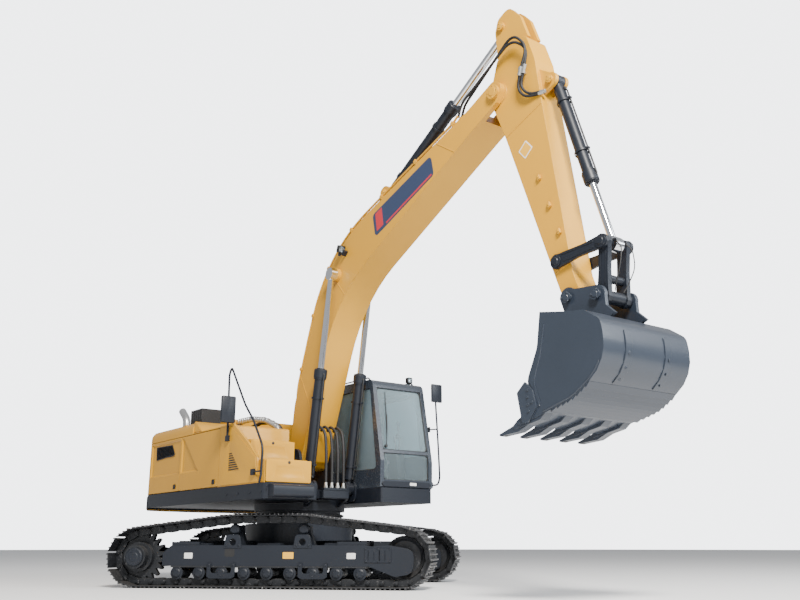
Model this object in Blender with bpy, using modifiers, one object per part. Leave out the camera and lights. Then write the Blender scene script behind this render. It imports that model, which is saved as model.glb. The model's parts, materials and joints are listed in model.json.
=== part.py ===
"""Crawler excavator, a 25 tonne machine, as an assembly of separate pieces on their joints.

Units are metres, +Z up, +X the way the upper structure faces, +Y to its left.
Every moving body hangs on an empty that stands on its joint's axis.
"""

import math

import bmesh
import bpy
from mathutils import Matrix, Vector

for old in list(bpy.data.objects):
    bpy.data.objects.remove(old, do_unlink=True)

# ---------------------------------------------------------------- driving dimensions
GAP = 0.0003  # between pieces that touch
PIN_GAP = 0.0005  # between faces that turn on one another

# pose at rest, degrees; boom, arm and bucket angles are from the horizontal
SLEW_ANGLE = 42.7
BOOM_ANGLE = 42.0
ARM_ANGLE = -70.1
BUCKET_ANGLE = -116.4

# undercarriage
TRACK_GAUGE = 2.56
SHOE_WIDTH = 0.60
TUMBLER_CENTRES = 3.73
PITCH_RADIUS = 0.325
SHOE_COUNT = 50
SHOE_SEAT = 0.045  # chain pitch line to the shoe's inner face
SHOE_PLATE = 0.012
GROUSER_HEIGHT = 0.023
RAIL_DEPTH = 0.050  # chain pitch line to the rail the rollers run on
RAIL_INNER = 0.045
RAIL_OUTER = 0.105
CARRIER_SPACING = 0.98
CARRIER_RADIUS = 0.075
CARRIER_RISE = 0.166  # how far the chain rises over the carrier rollers
ROLLER_COUNT = 9
ROLLER_RADIUS = 0.068
ROLLER_SPAN = 2.56
FRAME_WIDTH = 0.30
FRAME_TOP = 0.56
FRAME_BOTTOM = 0.29
SPROCKET_TEETH = 21
BEARING_RADIUS = 0.62
BEARING_JOINT_HEIGHT = 1.04

# upper structure
HOUSE_HALF_WIDTH = 1.39
HOUSE_FRONT = 1.47
TAIL_RADIUS = 2.985
TAIL_SEAM = -2.60
DECK_BOTTOM = 1.15
DECK_TOP = 1.355
BODY_TOP = 2.40
PANEL = 0.035
WALL = 0.045
DOOR_SEAM = 0.008
BODY_FRONT = -0.93
TANK_TOP = 2.22
TANK_REAR = 0.04
TANK_FRONT = 0.42
BOOM_SLOT = 0.447  # half the slot the boom and its cylinders swing in
RIGHT_SPLIT = -1.335  # seam between the two doors on the right
DOOR_TOP = 2.20
HOOD_HALF = 0.74
HOOD_REAR = -2.42
HOOD_FRONT = -1.02
HOOD_LAP = 0.03
HOOD_HEIGHT = 0.10
TOOLBOX_LOWER_TOP = 1.665
TOOLBOX_UPPER_TOP = 1.965
TOOLBOX_UPPER_FRONT = 0.90
TOOLBOX_LOWER_FRONT = 1.37
FLAP_HINGE = 0.0095
HINGE_RADIUS = 0.011
HINGE_SETBACK = 0.018  # from a door's edge to its hinge's axis

# cab
CAB_RIGHT = 0.455
CAB_LEFT = 1.405
CAB_FRONT = 1.46
CAB_REAR = -0.30
CAB_ROOF = 2.97
CAB_RAKE = 0.22
CAB_WALL = 0.05
GLASS = 0.006
SPLIT_HEIGHT = 1.875  # middle of the bar between the two front panes
DOOR_REAR = 0.16
DOOR_FRONT = 1.30
CAB_DOOR_SEAM = 0.007

# working equipment: pin positions on the upper structure, boom, arm and bucket
BOOM_FOOT = (0.22, 1.78)
BOOM_LENGTH = 6.16
BOOM_WIDTH = 0.48
CYLINDER_FOOT = (0.80, 1.36)
CYLINDER_SPACING = 0.69
BOOM_CYLINDER_PIN = (2.583, 1.227)
ARM_CYLINDER_FOOT = (4.010, 1.302)
ARM_LENGTH = 3.03
ARM_WIDTH = 0.32
ARM_CYLINDER_PIN = (-0.870, 0.357)
BUCKET_CYLINDER_FOOT = (0.404, 0.705)
ROCKER_PIVOT = (2.533, -0.022)
ROCKER_PIN = (2.691, 0.591)
LINK_PIN = (3.210, 0.350)
BUCKET_WIDTH = 1.32
BUCKET_PLATE = 0.030
EAR_INNER = 0.2175
EAR_PLATE = 0.045
TOOTH_COUNT = 5
FORK_SLOT = 0.36  # depth of the slot in the boom's tip that takes the arm
LUG_SLOT = 0.060  # half the space between a cylinder's two lugs
ROCKER_PLATE = 0.035

# ---------------------------------------------------------------- scene plumbing
scene = bpy.context.scene
parts = bpy.data.collections.new("crawler_excavator")
cutters = bpy.data.collections.new("cutters")
scene.collection.children.link(parts)
scene.collection.children.link(cutters)

PAINTS = {
    "yellow": ((0.80, 0.42, 0.10), 0.42, 0.1),
    "graphite": ((0.035, 0.042, 0.052), 0.55, 0.2),
    "black": ((0.012, 0.013, 0.016), 0.60, 0.0),
    "steel": ((0.42, 0.42, 0.41), 0.45, 0.9),
    "chrome": ((0.75, 0.76, 0.78), 0.12, 1.0),
    "glass": ((0.42, 0.55, 0.54), 0.08, 0.0),
    "seat": ((0.05, 0.05, 0.055), 0.85, 0.0),
}


def paint(name):
    """The Principled material of a paint, made once."""
    found = bpy.data.materials.get(name)
    if found:
        return found
    colour, roughness, metallic = PAINTS[name]
    made = bpy.data.materials.new(name)
    made.use_nodes = True
    shader = made.node_tree.nodes["Principled BSDF"]
    shader.inputs["Base Color"].default_value = (*colour, 1.0)
    shader.inputs["Roughness"].default_value = roughness
    shader.inputs["Metallic"].default_value = metallic
    return made


def joint(name, location, parent=None, turn=(0.0, 0.0, 0.0)):
    """An empty on a joint's axis."""
    empty = bpy.data.objects.new(name, None)
    scene.collection.objects.link(empty)
    empty.location = location
    empty.rotation_euler = [math.radians(angle) for angle in turn]
    empty.parent = parent
    return empty


def guide(mesh, name="shape"):
    """A hidden object in the cutters collection that holds a mesh."""
    obj = bpy.data.objects.new(name, mesh)
    cutters.objects.link(obj)
    obj.hide_render = True
    obj.display_type = "WIRE"
    return obj


def baked(obj, matrix=None):
    """Swap a curve or a modified object for a plain closed mesh object."""
    if matrix is None:
        matrix = Matrix.Identity(4)
    graph = bpy.context.evaluated_depsgraph_get()
    mesh = bpy.data.meshes.new_from_object(obj.evaluated_get(graph))
    bpy.data.objects.remove(obj, do_unlink=True)
    work = bmesh.new()
    work.from_mesh(mesh)
    bmesh.ops.remove_doubles(work, verts=work.verts, dist=0.00005)
    bmesh.ops.recalc_face_normals(work, faces=work.faces)
    work.to_mesh(mesh)
    work.free()
    mesh.transform(matrix)
    return guide(mesh)


# ---------------------------------------------------------------- shapes
ALONG_Y = Matrix.Rotation(math.radians(90), 4, "X")
ALONG_X = Matrix.Rotation(math.radians(90), 4, "Z") @ ALONG_Y


def box(x0, x1, y0, y1, z0, z1, bevel=0.0):
    """A block between two corners, its edges rounded by `bevel`."""
    work = bmesh.new()
    size = Matrix.Diagonal((x1 - x0, y1 - y0, z1 - z0, 1.0))
    centre = Matrix.Translation(((x0 + x1) / 2, (y0 + y1) / 2, (z0 + z1) / 2))
    bmesh.ops.create_cube(work, size=1.0, matrix=centre @ size)
    if bevel:
        bmesh.ops.bevel(work, geom=work.edges, offset=bevel, segments=2, affect="EDGES", profile=0.5)
    mesh = bpy.data.meshes.new("box")
    work.to_mesh(mesh)
    work.free()
    return guide(mesh)


def bar(start, end, radius, sides=16, radius_end=None):
    """A round bar, or a cone, from one point to another."""
    start, end = Vector(start), Vector(end)
    direction = end - start
    turn = direction.to_track_quat("Z", "Y").to_matrix().to_4x4()
    place = Matrix.Translation((start + end) / 2) @ turn
    work = bmesh.new()
    bmesh.ops.create_cone(
        work,
        cap_ends=True,
        segments=sides,
        radius1=radius,
        radius2=radius if radius_end is None else radius_end,
        depth=direction.length,
        matrix=place,
    )
    mesh = bpy.data.meshes.new("bar")
    work.to_mesh(mesh)
    work.free()
    return guide(mesh)


def cross_bar(centre, y0, y1, radius, sides=16):
    """A round bar across the machine, at (x, z)."""
    return bar((centre[0], y0, centre[1]), (centre[0], y1, centre[1]), radius, sides)


def plate(loops, start, end, plane="XZ"):
    """A flat outline, with any holes, made solid between two positions across its plane."""
    curve = bpy.data.curves.new("outline", "CURVE")
    curve.dimensions = "2D"
    curve.fill_mode = "BOTH"
    curve.extrude = abs(end - start) / 2
    for loop in loops:
        spline = curve.splines.new("POLY")
        spline.points.add(len(loop) - 1)
        for point, (a, b) in zip(spline.points, loop):
            point.co = (a, b, 0.0, 1.0)
        spline.use_cyclic_u = True
    obj = bpy.data.objects.new("outline", curve)
    cutters.objects.link(obj)
    middle = (start + end) / 2
    if plane == "XZ":
        matrix = Matrix.Translation((0.0, middle, 0.0)) @ ALONG_Y
    elif plane == "YZ":
        matrix = Matrix.Translation((middle, 0.0, 0.0)) @ ALONG_X
    else:
        matrix = Matrix.Translation((0.0, 0.0, middle))
    return baked(obj, matrix)


def pipe(points, radius, sides=8, bend=0.0):
    """A round tube through points, its corners bent to a radius, its ends capped."""
    route = bent([Vector(point) for point in points], bend)
    curve = bpy.data.curves.new("tube", "CURVE")
    curve.dimensions = "3D"
    curve.bevel_depth = radius
    curve.bevel_resolution = sides // 2 - 2
    curve.use_fill_caps = True
    spline = curve.splines.new("POLY")
    spline.points.add(len(route) - 1)
    for point, co in zip(spline.points, route):
        point.co = (*co, 1.0)
    obj = bpy.data.objects.new("tube", curve)
    cutters.objects.link(obj)
    return baked(obj)


def turned(profile, centre, axis="Y", steps=24):
    """A turned solid; the profile is (radius, position) from one end of the axis to the other."""
    mesh = bpy.data.meshes.new("profile")
    mesh.from_pydata([(r, 0.0, h) for r, h in profile], [(i, i + 1) for i in range(len(profile) - 1)], [])
    obj = bpy.data.objects.new("turned", mesh)
    cutters.objects.link(obj)
    screw = obj.modifiers.new("screw", "SCREW")
    screw.steps = steps
    screw.render_steps = steps
    screw.use_merge_vertices = True
    screw.merge_threshold = 0.0001
    turn = {"Y": Matrix.Rotation(math.radians(-90), 4, "X"), "Z": Matrix.Identity(4)}[axis]
    return baked(obj, Matrix.Translation(centre) @ turn)


def bent(points, radius, steps=3):
    """A route with each inner corner replaced by a bend of a few points."""
    if not radius:
        return points
    route = [points[0]]
    for before, corner, after in zip(points, points[1:], points[2:]):
        reach = min(radius, 0.45 * (before - corner).length, 0.45 * (after - corner).length)
        start = corner + (before - corner).normalized() * reach
        end = corner + (after - corner).normalized() * reach
        for i in range(steps + 1):
            t = i / steps
            route.append(start * (1 - t) ** 2 + corner * 2 * t * (1 - t) + end * t**2)
    route.append(points[-1])
    return route


def rounded(corners, steps=4):
    """A closed outline from (a, b, radius) corners, each rounded by a true arc."""
    outline = []
    count = len(corners)
    for i, (a, b, radius) in enumerate(corners):
        corner = Vector((a, b))
        if not radius:
            outline.append((a, b))
            continue
        before = Vector(corners[i - 1][:2]) - corner
        after = Vector(corners[(i + 1) % count][:2]) - corner
        half = before.angle(after) / 2
        reach = radius / math.tan(half)
        middle = corner + (before.normalized() + after.normalized()).normalized() * radius / math.sin(half)
        first = corner + before.normalized() * reach - middle
        last = corner + after.normalized() * reach - middle
        sweep = first.angle_signed(last)
        for k in range(steps + 1):
            turn = Matrix.Rotation(-sweep * k / steps, 2)
            point = middle + turn @ first
            outline.append((point.x, point.y))
    return outline


def polar(centre, radius, degrees):
    """A point at an angle and distance from a centre."""
    angle = math.radians(degrees)
    return (centre[0] + radius * math.cos(angle), centre[1] + radius * math.sin(angle))


def arc(centre, radius, start, end, steps=6):
    """Points on an arc, angles in degrees."""
    return [polar(centre, radius, start + (end - start) * i / steps) for i in range(steps + 1)]


def disc(centre, radius, steps=20):
    """A circle as a closed outline."""
    return arc(centre, radius, 0.0, 360.0, steps)[:-1]


def together(objects):
    """Several loose shapes as one object, for one Boolean."""
    work = bmesh.new()
    for obj in objects:
        work.from_mesh(obj.data)
        bpy.data.objects.remove(obj, do_unlink=True)
    mesh = bpy.data.meshes.new("group")
    work.to_mesh(mesh)
    work.free()
    return guide(mesh)


def piece(name, base, at, colour, add=(), cut=(), bevel=0.0, solver="EXACT", cut_first=False,
          drawn_at_slew=False):
    """Name a shape as one piece, hang it on its joint and weld or cut its other shapes.

    A piece that is `drawn_at_slew` has its shapes in the upper structure's frame, not its joint's own.
    """
    if drawn_at_slew:
        for shape in (base, *add, *cut):
            shape.data.transform(Matrix.Translation(-at.location))
    cutters.objects.unlink(base)
    parts.objects.link(base)
    base.name = name
    base.data.name = name
    base.parent = at
    base.hide_render = False
    base.display_type = "TEXTURED"
    steps = [("UNION", add), ("DIFFERENCE", cut)]
    if cut_first:
        steps.reverse()
    for kind, tools in steps:
        for tool in tools:
            tool.name = name + ("_joined" if kind == "UNION" else "_cut")
            tool.parent = at
            step = base.modifiers.new(kind.lower(), "BOOLEAN")
            step.operation = kind
            step.solver = solver
            step.object = tool
    if bevel:
        soften = base.modifiers.new("edges", "BEVEL")
        soften.width = bevel
        soften.segments = 2
        soften.limit_method = "ANGLE"
    base.data.materials.clear()
    base.data.materials.append(paint(colour))
    base.data.shade_smooth()
    base.data.set_sharp_from_angle(angle=math.radians(35))
    return base


# ---------------------------------------------------------------- joints
root = joint("machine", (0.0, 0.0, 0.0))
undercarriage = joint("undercarriage", (0.0, 0.0, 0.0), root, (0.0, 0.0, SLEW_ANGLE))
slew = joint("slew_axis", (0.0, 0.0, 0.0), root)
boom_joint = joint("boom_axis", (BOOM_FOOT[0], 0.0, BOOM_FOOT[1]), slew, (0.0, -BOOM_ANGLE, 0.0))
arm_turn = BOOM_ANGLE - ARM_ANGLE
arm_joint = joint("arm_axis", (BOOM_LENGTH, 0.0, 0.0), boom_joint, (0.0, arm_turn, 0.0))
bucket_turn = ARM_ANGLE - BUCKET_ANGLE
bucket_joint = joint("bucket_axis", (ARM_LENGTH, 0.0, 0.0), arm_joint, (0.0, bucket_turn, 0.0))


def turned_point(point, angle, origin=(0.0, 0.0)):
    """A point (x, z) turned up from +X by an angle in degrees, then moved to an origin."""
    c, s = math.cos(math.radians(angle)), math.sin(math.radians(angle))
    return (origin[0] + c * point[0] - s * point[1], origin[1] + s * point[0] + c * point[1])


def heading(start, end):
    """The angle from one (x, z) point to another, and the distance."""
    dx, dz = end[0] - start[0], end[1] - start[1]
    return math.degrees(math.atan2(dz, dx)), math.hypot(dx, dz)


FOOT_INNER = CYLINDER_SPACING / 2 - 0.05  # inner face of a boom cylinder's foot eye


# ---------------------------------------------------------------- undercarriage
TUMBLER_HEIGHT = PITCH_RADIUS + SHOE_SEAT + SHOE_PLATE + GROUSER_HEIGHT
CARRIER_PITCH_TOP = TUMBLER_HEIGHT + PITCH_RADIUS + CARRIER_RISE
CARRIER_HEIGHT = CARRIER_PITCH_TOP - RAIL_DEPTH - CARRIER_RADIUS
BOTTOM_ROLLER_HEIGHT = TUMBLER_HEIGHT - PITCH_RADIUS + RAIL_DEPTH + ROLLER_RADIUS


def hull(points):
    """The convex hull of points, anticlockwise."""
    points = sorted(set(points))

    def half(run):
        chain = []
        for p in run:
            while len(chain) > 1:
                (ax, ay), (bx, by) = chain[-2], chain[-1]
                if (bx - ax) * (p[1] - ay) - (by - ay) * (p[0] - ax) > 0:
                    break
                chain.pop()
            chain.append(p)
        return chain[:-1]

    return half(points) + half(points[::-1])


def chain_path():
    """The chain's pitch points: a taut loop round sprocket, idler and carrier rollers."""
    half = TUMBLER_CENTRES / 2
    small = CARRIER_RADIUS + RAIL_DEPTH
    wheels = [(-half, TUMBLER_HEIGHT, PITCH_RADIUS), (half, TUMBLER_HEIGHT, PITCH_RADIUS)]
    wheels += [(side * CARRIER_SPACING / 2, CARRIER_HEIGHT, small) for side in (-1, 1)]
    cloud = []
    for x, z, radius in wheels:
        cloud += [(round(a, 6), round(b, 6)) for a, b in disc((x, z), radius, 180)]
    loop = hull(cloud)
    loop.append(loop[0])
    lengths = [math.dist(a, b) for a, b in zip(loop, loop[1:])]
    pitch = sum(lengths) / SHOE_COUNT
    found, travelled, index = [], 0.0, 0
    for shoe in range(SHOE_COUNT):
        target = shoe * pitch
        while travelled + lengths[index] < target:
            travelled += lengths[index]
            index += 1
        share = (target - travelled) / lengths[index]
        (ax, ay), (bx, by) = loop[index], loop[index + 1]
        found.append((ax + share * (bx - ax), ay + share * (by - ay)))
    return found


PITCH_POINTS = chain_path()
# a wheel inside the chain touches the middles of the links, which lie inside the pitch circle
PITCH = math.dist(PITCH_POINTS[0], PITCH_POINTS[1])
LINK_COSINE = math.cos(PITCH / 2 / PITCH_RADIUS)
CARRIER_SLACK = PITCH / 2 * math.tan(CARRIER_RISE / (TUMBLER_CENTRES - CARRIER_SPACING) + 0.004)


def offset_loop(distance):
    """The pitch points moved outward by a distance, each along its corner's bisector."""
    found = []
    for i, (x, z) in enumerate(PITCH_POINTS):
        before = PITCH_POINTS[i - 1]
        after = PITCH_POINTS[(i + 1) % SHOE_COUNT]
        normal = Vector((after[1] - before[1], before[0] - after[0])).normalized()
        found.append((x + normal.x * distance, z + normal.y * distance))
    return found


def shoe_outline():
    """The outside of the track: every shoe with its plate, its gap and one raised bar."""
    low, high = SHOE_SEAT + SHOE_PLATE, SHOE_SEAT + SHOE_PLATE + GROUSER_HEIGHT
    steps = ((0.03, low), (0.13, high), (0.90, high))
    found = []
    for i, start in enumerate(PITCH_POINTS):
        start, end = Vector(start), Vector(PITCH_POINTS[(i + 1) % SHOE_COUNT])
        along = end - start
        normal = Vector((along.y, -along.x)).normalized()
        for share, height in steps:
            point = start + along * share + normal * height
            found.append((point.x, point.y))
    return found


def build_track(side, label):
    """One fixed track loop: shoes with two chain rails inside them."""
    centre = side * TRACK_GAUGE / 2
    rails = []
    for rail in (-1, 1):
        inner, outer = centre + rail * RAIL_INNER, centre + rail * RAIL_OUTER
        loops = [offset_loop(SHOE_SEAT + 0.004), offset_loop(-RAIL_DEPTH)]
        rails.append(plate(loops, inner, outer))
    shoes = plate([shoe_outline(), offset_loop(SHOE_SEAT)], centre - SHOE_WIDTH / 2,
                  centre + SHOE_WIDTH / 2)
    piece("track_" + label, shoes, undercarriage, "graphite", add=[together(rails)], solver="MANIFOLD")


def build_sprocket(side, label):
    """The toothed wheel and the final drive's round cover."""
    half = TUMBLER_CENTRES / 2
    centre = side * TRACK_GAUGE / 2
    middle = (-half, TUMBLER_HEIGHT)
    tooth_tip = (PITCH_RADIUS + SHOE_SEAT) * LINK_COSINE - 0.004
    tooth_root = PITCH_RADIUS - RAIL_DEPTH - 0.004
    outline = []
    for tooth in range(SPROCKET_TEETH):
        step = 360.0 / SPROCKET_TEETH
        for share, radius in ((0.08, tooth_root), (0.36, tooth_tip), (0.64, tooth_tip), (0.92, tooth_root)):
            outline.append(polar(middle, radius, (tooth + share) * step))
    wheel = plate([outline], centre - RAIL_INNER + 0.006, centre + RAIL_INNER - 0.006)
    out = centre + side * (SHOE_WIDTH / 2 - 0.06)
    inn = centre - side * (FRAME_WIDTH / 2 - 0.02)
    hub = cross_bar(middle, inn, centre + side * 0.12, 0.20, 20)
    cover = cross_bar(middle, centre + side * 0.10, out, 0.155, 20)
    cap = cross_bar(middle, out - side * 0.01, out + side * 0.02, 0.10, 14)
    piece("sprocket_" + label, wheel, undercarriage, "graphite", add=[hub, cover, cap])


def build_idler(side, label):
    """The front idler: a dished wheel with a centre flange between the rails."""
    half = TUMBLER_CENTRES / 2
    centre = side * TRACK_GAUGE / 2
    rim = (PITCH_RADIUS - RAIL_DEPTH) * LINK_COSINE - 0.0015
    flange = RAIL_INNER - 0.008
    profile = [
        (0.0, -0.13), (0.07, -0.13), (0.09, -0.04), (rim - 0.05, -0.04), (rim, -0.100), (rim, -flange),
        (rim + 0.02, -flange), (rim + 0.02, flange), (rim, flange), (rim, 0.100), (rim - 0.05, 0.04),
        (0.09, 0.04), (0.07, 0.13), (0.0, 0.13),
    ]
    wheel = turned([(r, -h) for r, h in profile], (half, centre, TUMBLER_HEIGHT), "Y", 22)
    piece("idler_" + label, wheel, undercarriage, "graphite")


def roller_positions():
    """Where the bottom rollers stand along the track frame."""
    step = ROLLER_SPAN / (ROLLER_COUNT - 1)
    return [-ROLLER_SPAN / 2 + 0.02 + step * i for i in range(ROLLER_COUNT)]


def build_rollers(side, label):
    """Bottom rollers with their shaft brackets on a bar bolted under the track frame."""
    centre = side * TRACK_GAUGE / 2
    top = FRAME_BOTTOM - GAP
    span = ROLLER_SPAN / 2 + 0.09
    wheels = []
    saddles = []
    for x in roller_positions():
        wheels.append(cross_bar((x, BOTTOM_ROLLER_HEIGHT), centre - 0.128, centre + 0.128,
                                ROLLER_RADIUS, 12))
        saddles.append(box(x - 0.035, x + 0.035, centre - 0.146, centre + 0.146,
                           BOTTOM_ROLLER_HEIGHT - 0.02, top - 0.01))
    strip = box(-span, span, centre - FRAME_WIDTH / 2, centre + FRAME_WIDTH / 2, top - 0.020, top)
    piece("rollers_" + label, strip, undercarriage, "graphite", add=[together(saddles), together(wheels)])


def build_track_frame(side, label):
    """The side frame: box beam, idler yoke, motor seat and the carrier rollers it holds."""
    half = TUMBLER_CENTRES / 2
    centre = side * TRACK_GAUGE / 2
    y0, y1 = centre - FRAME_WIDTH / 2, centre + FRAME_WIDTH / 2
    beam_rear, beam_front = -half + 0.37, half - 0.37
    beam = plate([rounded([
        (beam_rear, FRAME_BOTTOM, 0), (beam_front, FRAME_BOTTOM, 0), (beam_front, FRAME_TOP - 0.03, 0.02),
        (beam_front - 0.16, FRAME_TOP, 0.05), (beam_rear + 0.12, FRAME_TOP, 0.05),
        (beam_rear, FRAME_TOP - 0.10, 0.05)], 2)], y0, y1)
    yokes = []
    for end in (-1, 1):
        inner, outer = centre + end * 0.1305, centre + end * FRAME_WIDTH / 2
        yokes.append(plate([rounded([
            (beam_front - 0.10, FRAME_BOTTOM, 0), (half - 0.12, 0.16, 0.05), (half + 0.12, 0.20, 0.10),
            (half + 0.14, 0.50, 0.10), (half - 0.20, FRAME_TOP, 0.05),
            (beam_front - 0.10, FRAME_TOP - 0.02, 0)], 2)],
            min(inner, outer), max(inner, outer)))
    seat_in = centre - side * FRAME_WIDTH / 2
    seat_out = centre - side * (FRAME_WIDTH / 2 - 0.0197)
    motor = plate([rounded([
        (-half - 0.22, TUMBLER_HEIGHT - 0.16, 0.12), (beam_rear + 0.10, FRAME_BOTTOM, 0),
        (beam_rear + 0.10, FRAME_TOP - 0.06, 0), (-half - 0.16, TUMBLER_HEIGHT + 0.21, 0.12)], 4)],
        min(seat_in, seat_out), max(seat_in, seat_out))
    case = cross_bar((-half, TUMBLER_HEIGHT), seat_in + side * 0.004, seat_in - side * 0.10, 0.155, 18)
    supports = []
    for end in (-1, 1):
        x = end * CARRIER_SPACING / 2
        y_in, y_out = centre - side * 0.13, centre - side * 0.03
        supports.append(plate([[
            (x - 0.13, FRAME_TOP - 0.02), (x + 0.13, FRAME_TOP - 0.02), (x + 0.06, CARRIER_HEIGHT - 0.045),
            (x + 0.05, CARRIER_HEIGHT + 0.045), (x - 0.05, CARRIER_HEIGHT + 0.045),
            (x - 0.06, CARRIER_HEIGHT - 0.045)]], min(y_in, y_out), max(y_in, y_out)))
    wheels = []
    for end in (-1, 1):
        x = end * CARRIER_SPACING / 2
        run = CARRIER_RADIUS - CARRIER_SLACK
        profile = [(0.0, 0.125), (0.05, 0.125), (run, 0.110), (run, 0.040), (0.045, 0.032), (0.045, -0.03)]
        profile += [(0.05, -0.04), (0.0, -0.04)]
        if side < 0:
            profile = [(r, -h) for r, h in profile[::-1]]
        wheels.append(turned(profile, (x, centre, CARRIER_HEIGHT), "Y", 14))
    steps = []
    for x in (-1.18, 1.16):
        steps.append(box(x - 0.20, x + 0.20, y0 + 0.02, y1 - 0.02, FRAME_TOP - 0.01, FRAME_TOP + 0.045))
    piece("track_frame_" + label, beam, undercarriage, "graphite",
          add=[together(yokes), motor, case, together(supports), together(wheels), together(steps)],
          solver="MANIFOLD")


def build_carbody():
    """The centre frame: a box under the slewing bearing with four legs to the side frames."""
    inner = TRACK_GAUGE / 2 - FRAME_WIDTH / 2 - GAP
    outline = []
    for sx, sy in ((1, 1), (-1, 1), (-1, -1), (1, -1)):
        leg = [(0.42, 0.62), (0.95, inner), (1.40, inner), (0.66, 0.40)]
        if sx * sy < 0:
            leg = leg[::-1]
        outline += [(sx * x, sy * y) for x, y in (leg[::-1])]
    base = plate([outline], 0.40, 0.62, "XY")
    centre = plate([disc((0.0, 0.0), 0.80, 28)], 0.42, 0.86, "XY")
    neck = plate([disc((0.0, 0.0), BEARING_RADIUS, 32)], 0.84, BEARING_JOINT_HEIGHT - PIN_GAP / 2, "XY")
    piece("carbody", base, undercarriage, "graphite", add=[centre, neck])


# ---------------------------------------------------------------- upper structure
def tail_arc(radius, half_width, steps=14):
    """The tail's arc about the slewing axis, from the right side to the left."""
    reach = math.degrees(math.asin(half_width / radius))
    return arc((0.0, 0.0), radius, 180.0 + reach, 180.0 - reach, steps)


def build_house_frame():
    """The revolving frame: deck slab, boom foot girders, cylinder lugs and the front step."""
    side = HOUSE_HALF_WIDTH
    deck = plate([rounded([
        (TAIL_SEAM + GAP, -side, 0), (HOUSE_FRONT - 0.08, -side, 0.06), (HOUSE_FRONT, -side + 0.10, 0.06),
        (HOUSE_FRONT, -0.60, 0.03), (1.10, -BOOM_SLOT, 0.03), (0.42, -BOOM_SLOT, 0), (0.42, BOOM_SLOT, 0),
        (1.20, BOOM_SLOT, 0.0), (HOUSE_FRONT, BOOM_SLOT + 0.02, 0.03), (HOUSE_FRONT, CAB_LEFT, 0.06),
        (TAIL_SEAM + GAP, CAB_LEFT, 0)], 3)], DECK_BOTTOM, DECK_TOP, "XY")
    girders = []
    for s in (-1, 1):
        a, b = s * (BOOM_WIDTH / 2 + 0.010), s * (FOOT_INNER - PIN_GAP)
        girders.append(plate([rounded([
            (-0.75, 1.05, 0), (0.50, 1.05, 0.0), (CYLINDER_FOOT[0] + 0.11, 1.20, 0.08),
            (CYLINDER_FOOT[0] + 0.11, CYLINDER_FOOT[1] + 0.11, 0.10), (0.56, 1.44, 0.05),
            (BOOM_FOOT[0] + 0.20, BOOM_FOOT[1] + 0.16, 0.14),
            (BOOM_FOOT[0] - 0.18, BOOM_FOOT[1] + 0.18, 0.14),
            (-0.45, 1.50, 0.10), (-0.75, DECK_TOP + 0.02, 0)], 4)], min(a, b), max(a, b)))
    lugs = []
    outer = CYLINDER_SPACING / 2 + 0.05 + PIN_GAP
    for s in (-1, 1):
        a, b = s * outer, s * (outer + 0.035)
        lugs.append(plate([rounded([
            (0.36, 1.16, 0), (CYLINDER_FOOT[0] + 0.10, 1.18, 0.08),
            (CYLINDER_FOOT[0] + 0.11, CYLINDER_FOOT[1] + 0.11, 0.10),
            (CYLINDER_FOOT[0] - 0.11, CYLINDER_FOOT[1] + 0.11, 0.10), (0.36, 1.34, 0)], 4)], min(a, b),
            max(a, b)))
    ties = [box(0.30, 0.62, -FOOT_INNER + 0.01, FOOT_INNER - 0.01, 1.06, 1.20)]
    ties += [box(0.36, 0.62, s * 0.40 - 0.06, s * 0.40 + 0.06, 1.16, 1.25) for s in (-1, 1)]
    pins = [cross_bar(BOOM_FOOT, s * (BOOM_WIDTH / 2 + 0.012), s * (BOOM_WIDTH / 2 + 0.11),
                      0.085) for s in (-1, 1)]
    centre = plate([disc((0.0, 0.0), BEARING_RADIUS + 0.06, 32)], BEARING_JOINT_HEIGHT + PIN_GAP / 2,
                   DECK_BOTTOM + 0.01, "XY")
    step = plate([rounded([
        (HOUSE_FRONT - 0.02, 1.17, 0), (HOUSE_FRONT + 0.13, 1.17, 0.04), (HOUSE_FRONT + 0.13, 1.33, 0.04),
        (HOUSE_FRONT - 0.02, 1.33, 0)], 3)], -side + 0.06, -0.72)
    piece("house_frame", deck, slew, "graphite",
          add=[together(girders), *ties, together(lugs), together(pins), centre, step])


def build_counterweight():
    """The cast counterweight that closes the tail."""
    half = HOUSE_HALF_WIDTH
    outline = [(TAIL_SEAM - GAP, -half)] + [(TAIL_SEAM - GAP, half)]
    outline += tail_arc(TAIL_RADIUS, half - 0.10)[::-1]
    body = plate([outline], DECK_BOTTOM - 0.04, TANK_TOP + 0.06, "XY")
    piece("counterweight", body, slew, "yellow", bevel=0.04)


def shell_section(inset):
    """The body's cross section, an upside-down U with rounded shoulders."""
    half, top, radius = HOUSE_HALF_WIDTH - inset, BODY_TOP - inset, 0.14 - inset
    left = arc((half - radius, top - radius), radius, 0, 90, 5)
    return [(half, DOOR_TOP)] + left + [(-y, z) for y, z in left[::-1]] + [(-half, DOOR_TOP)]


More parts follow.
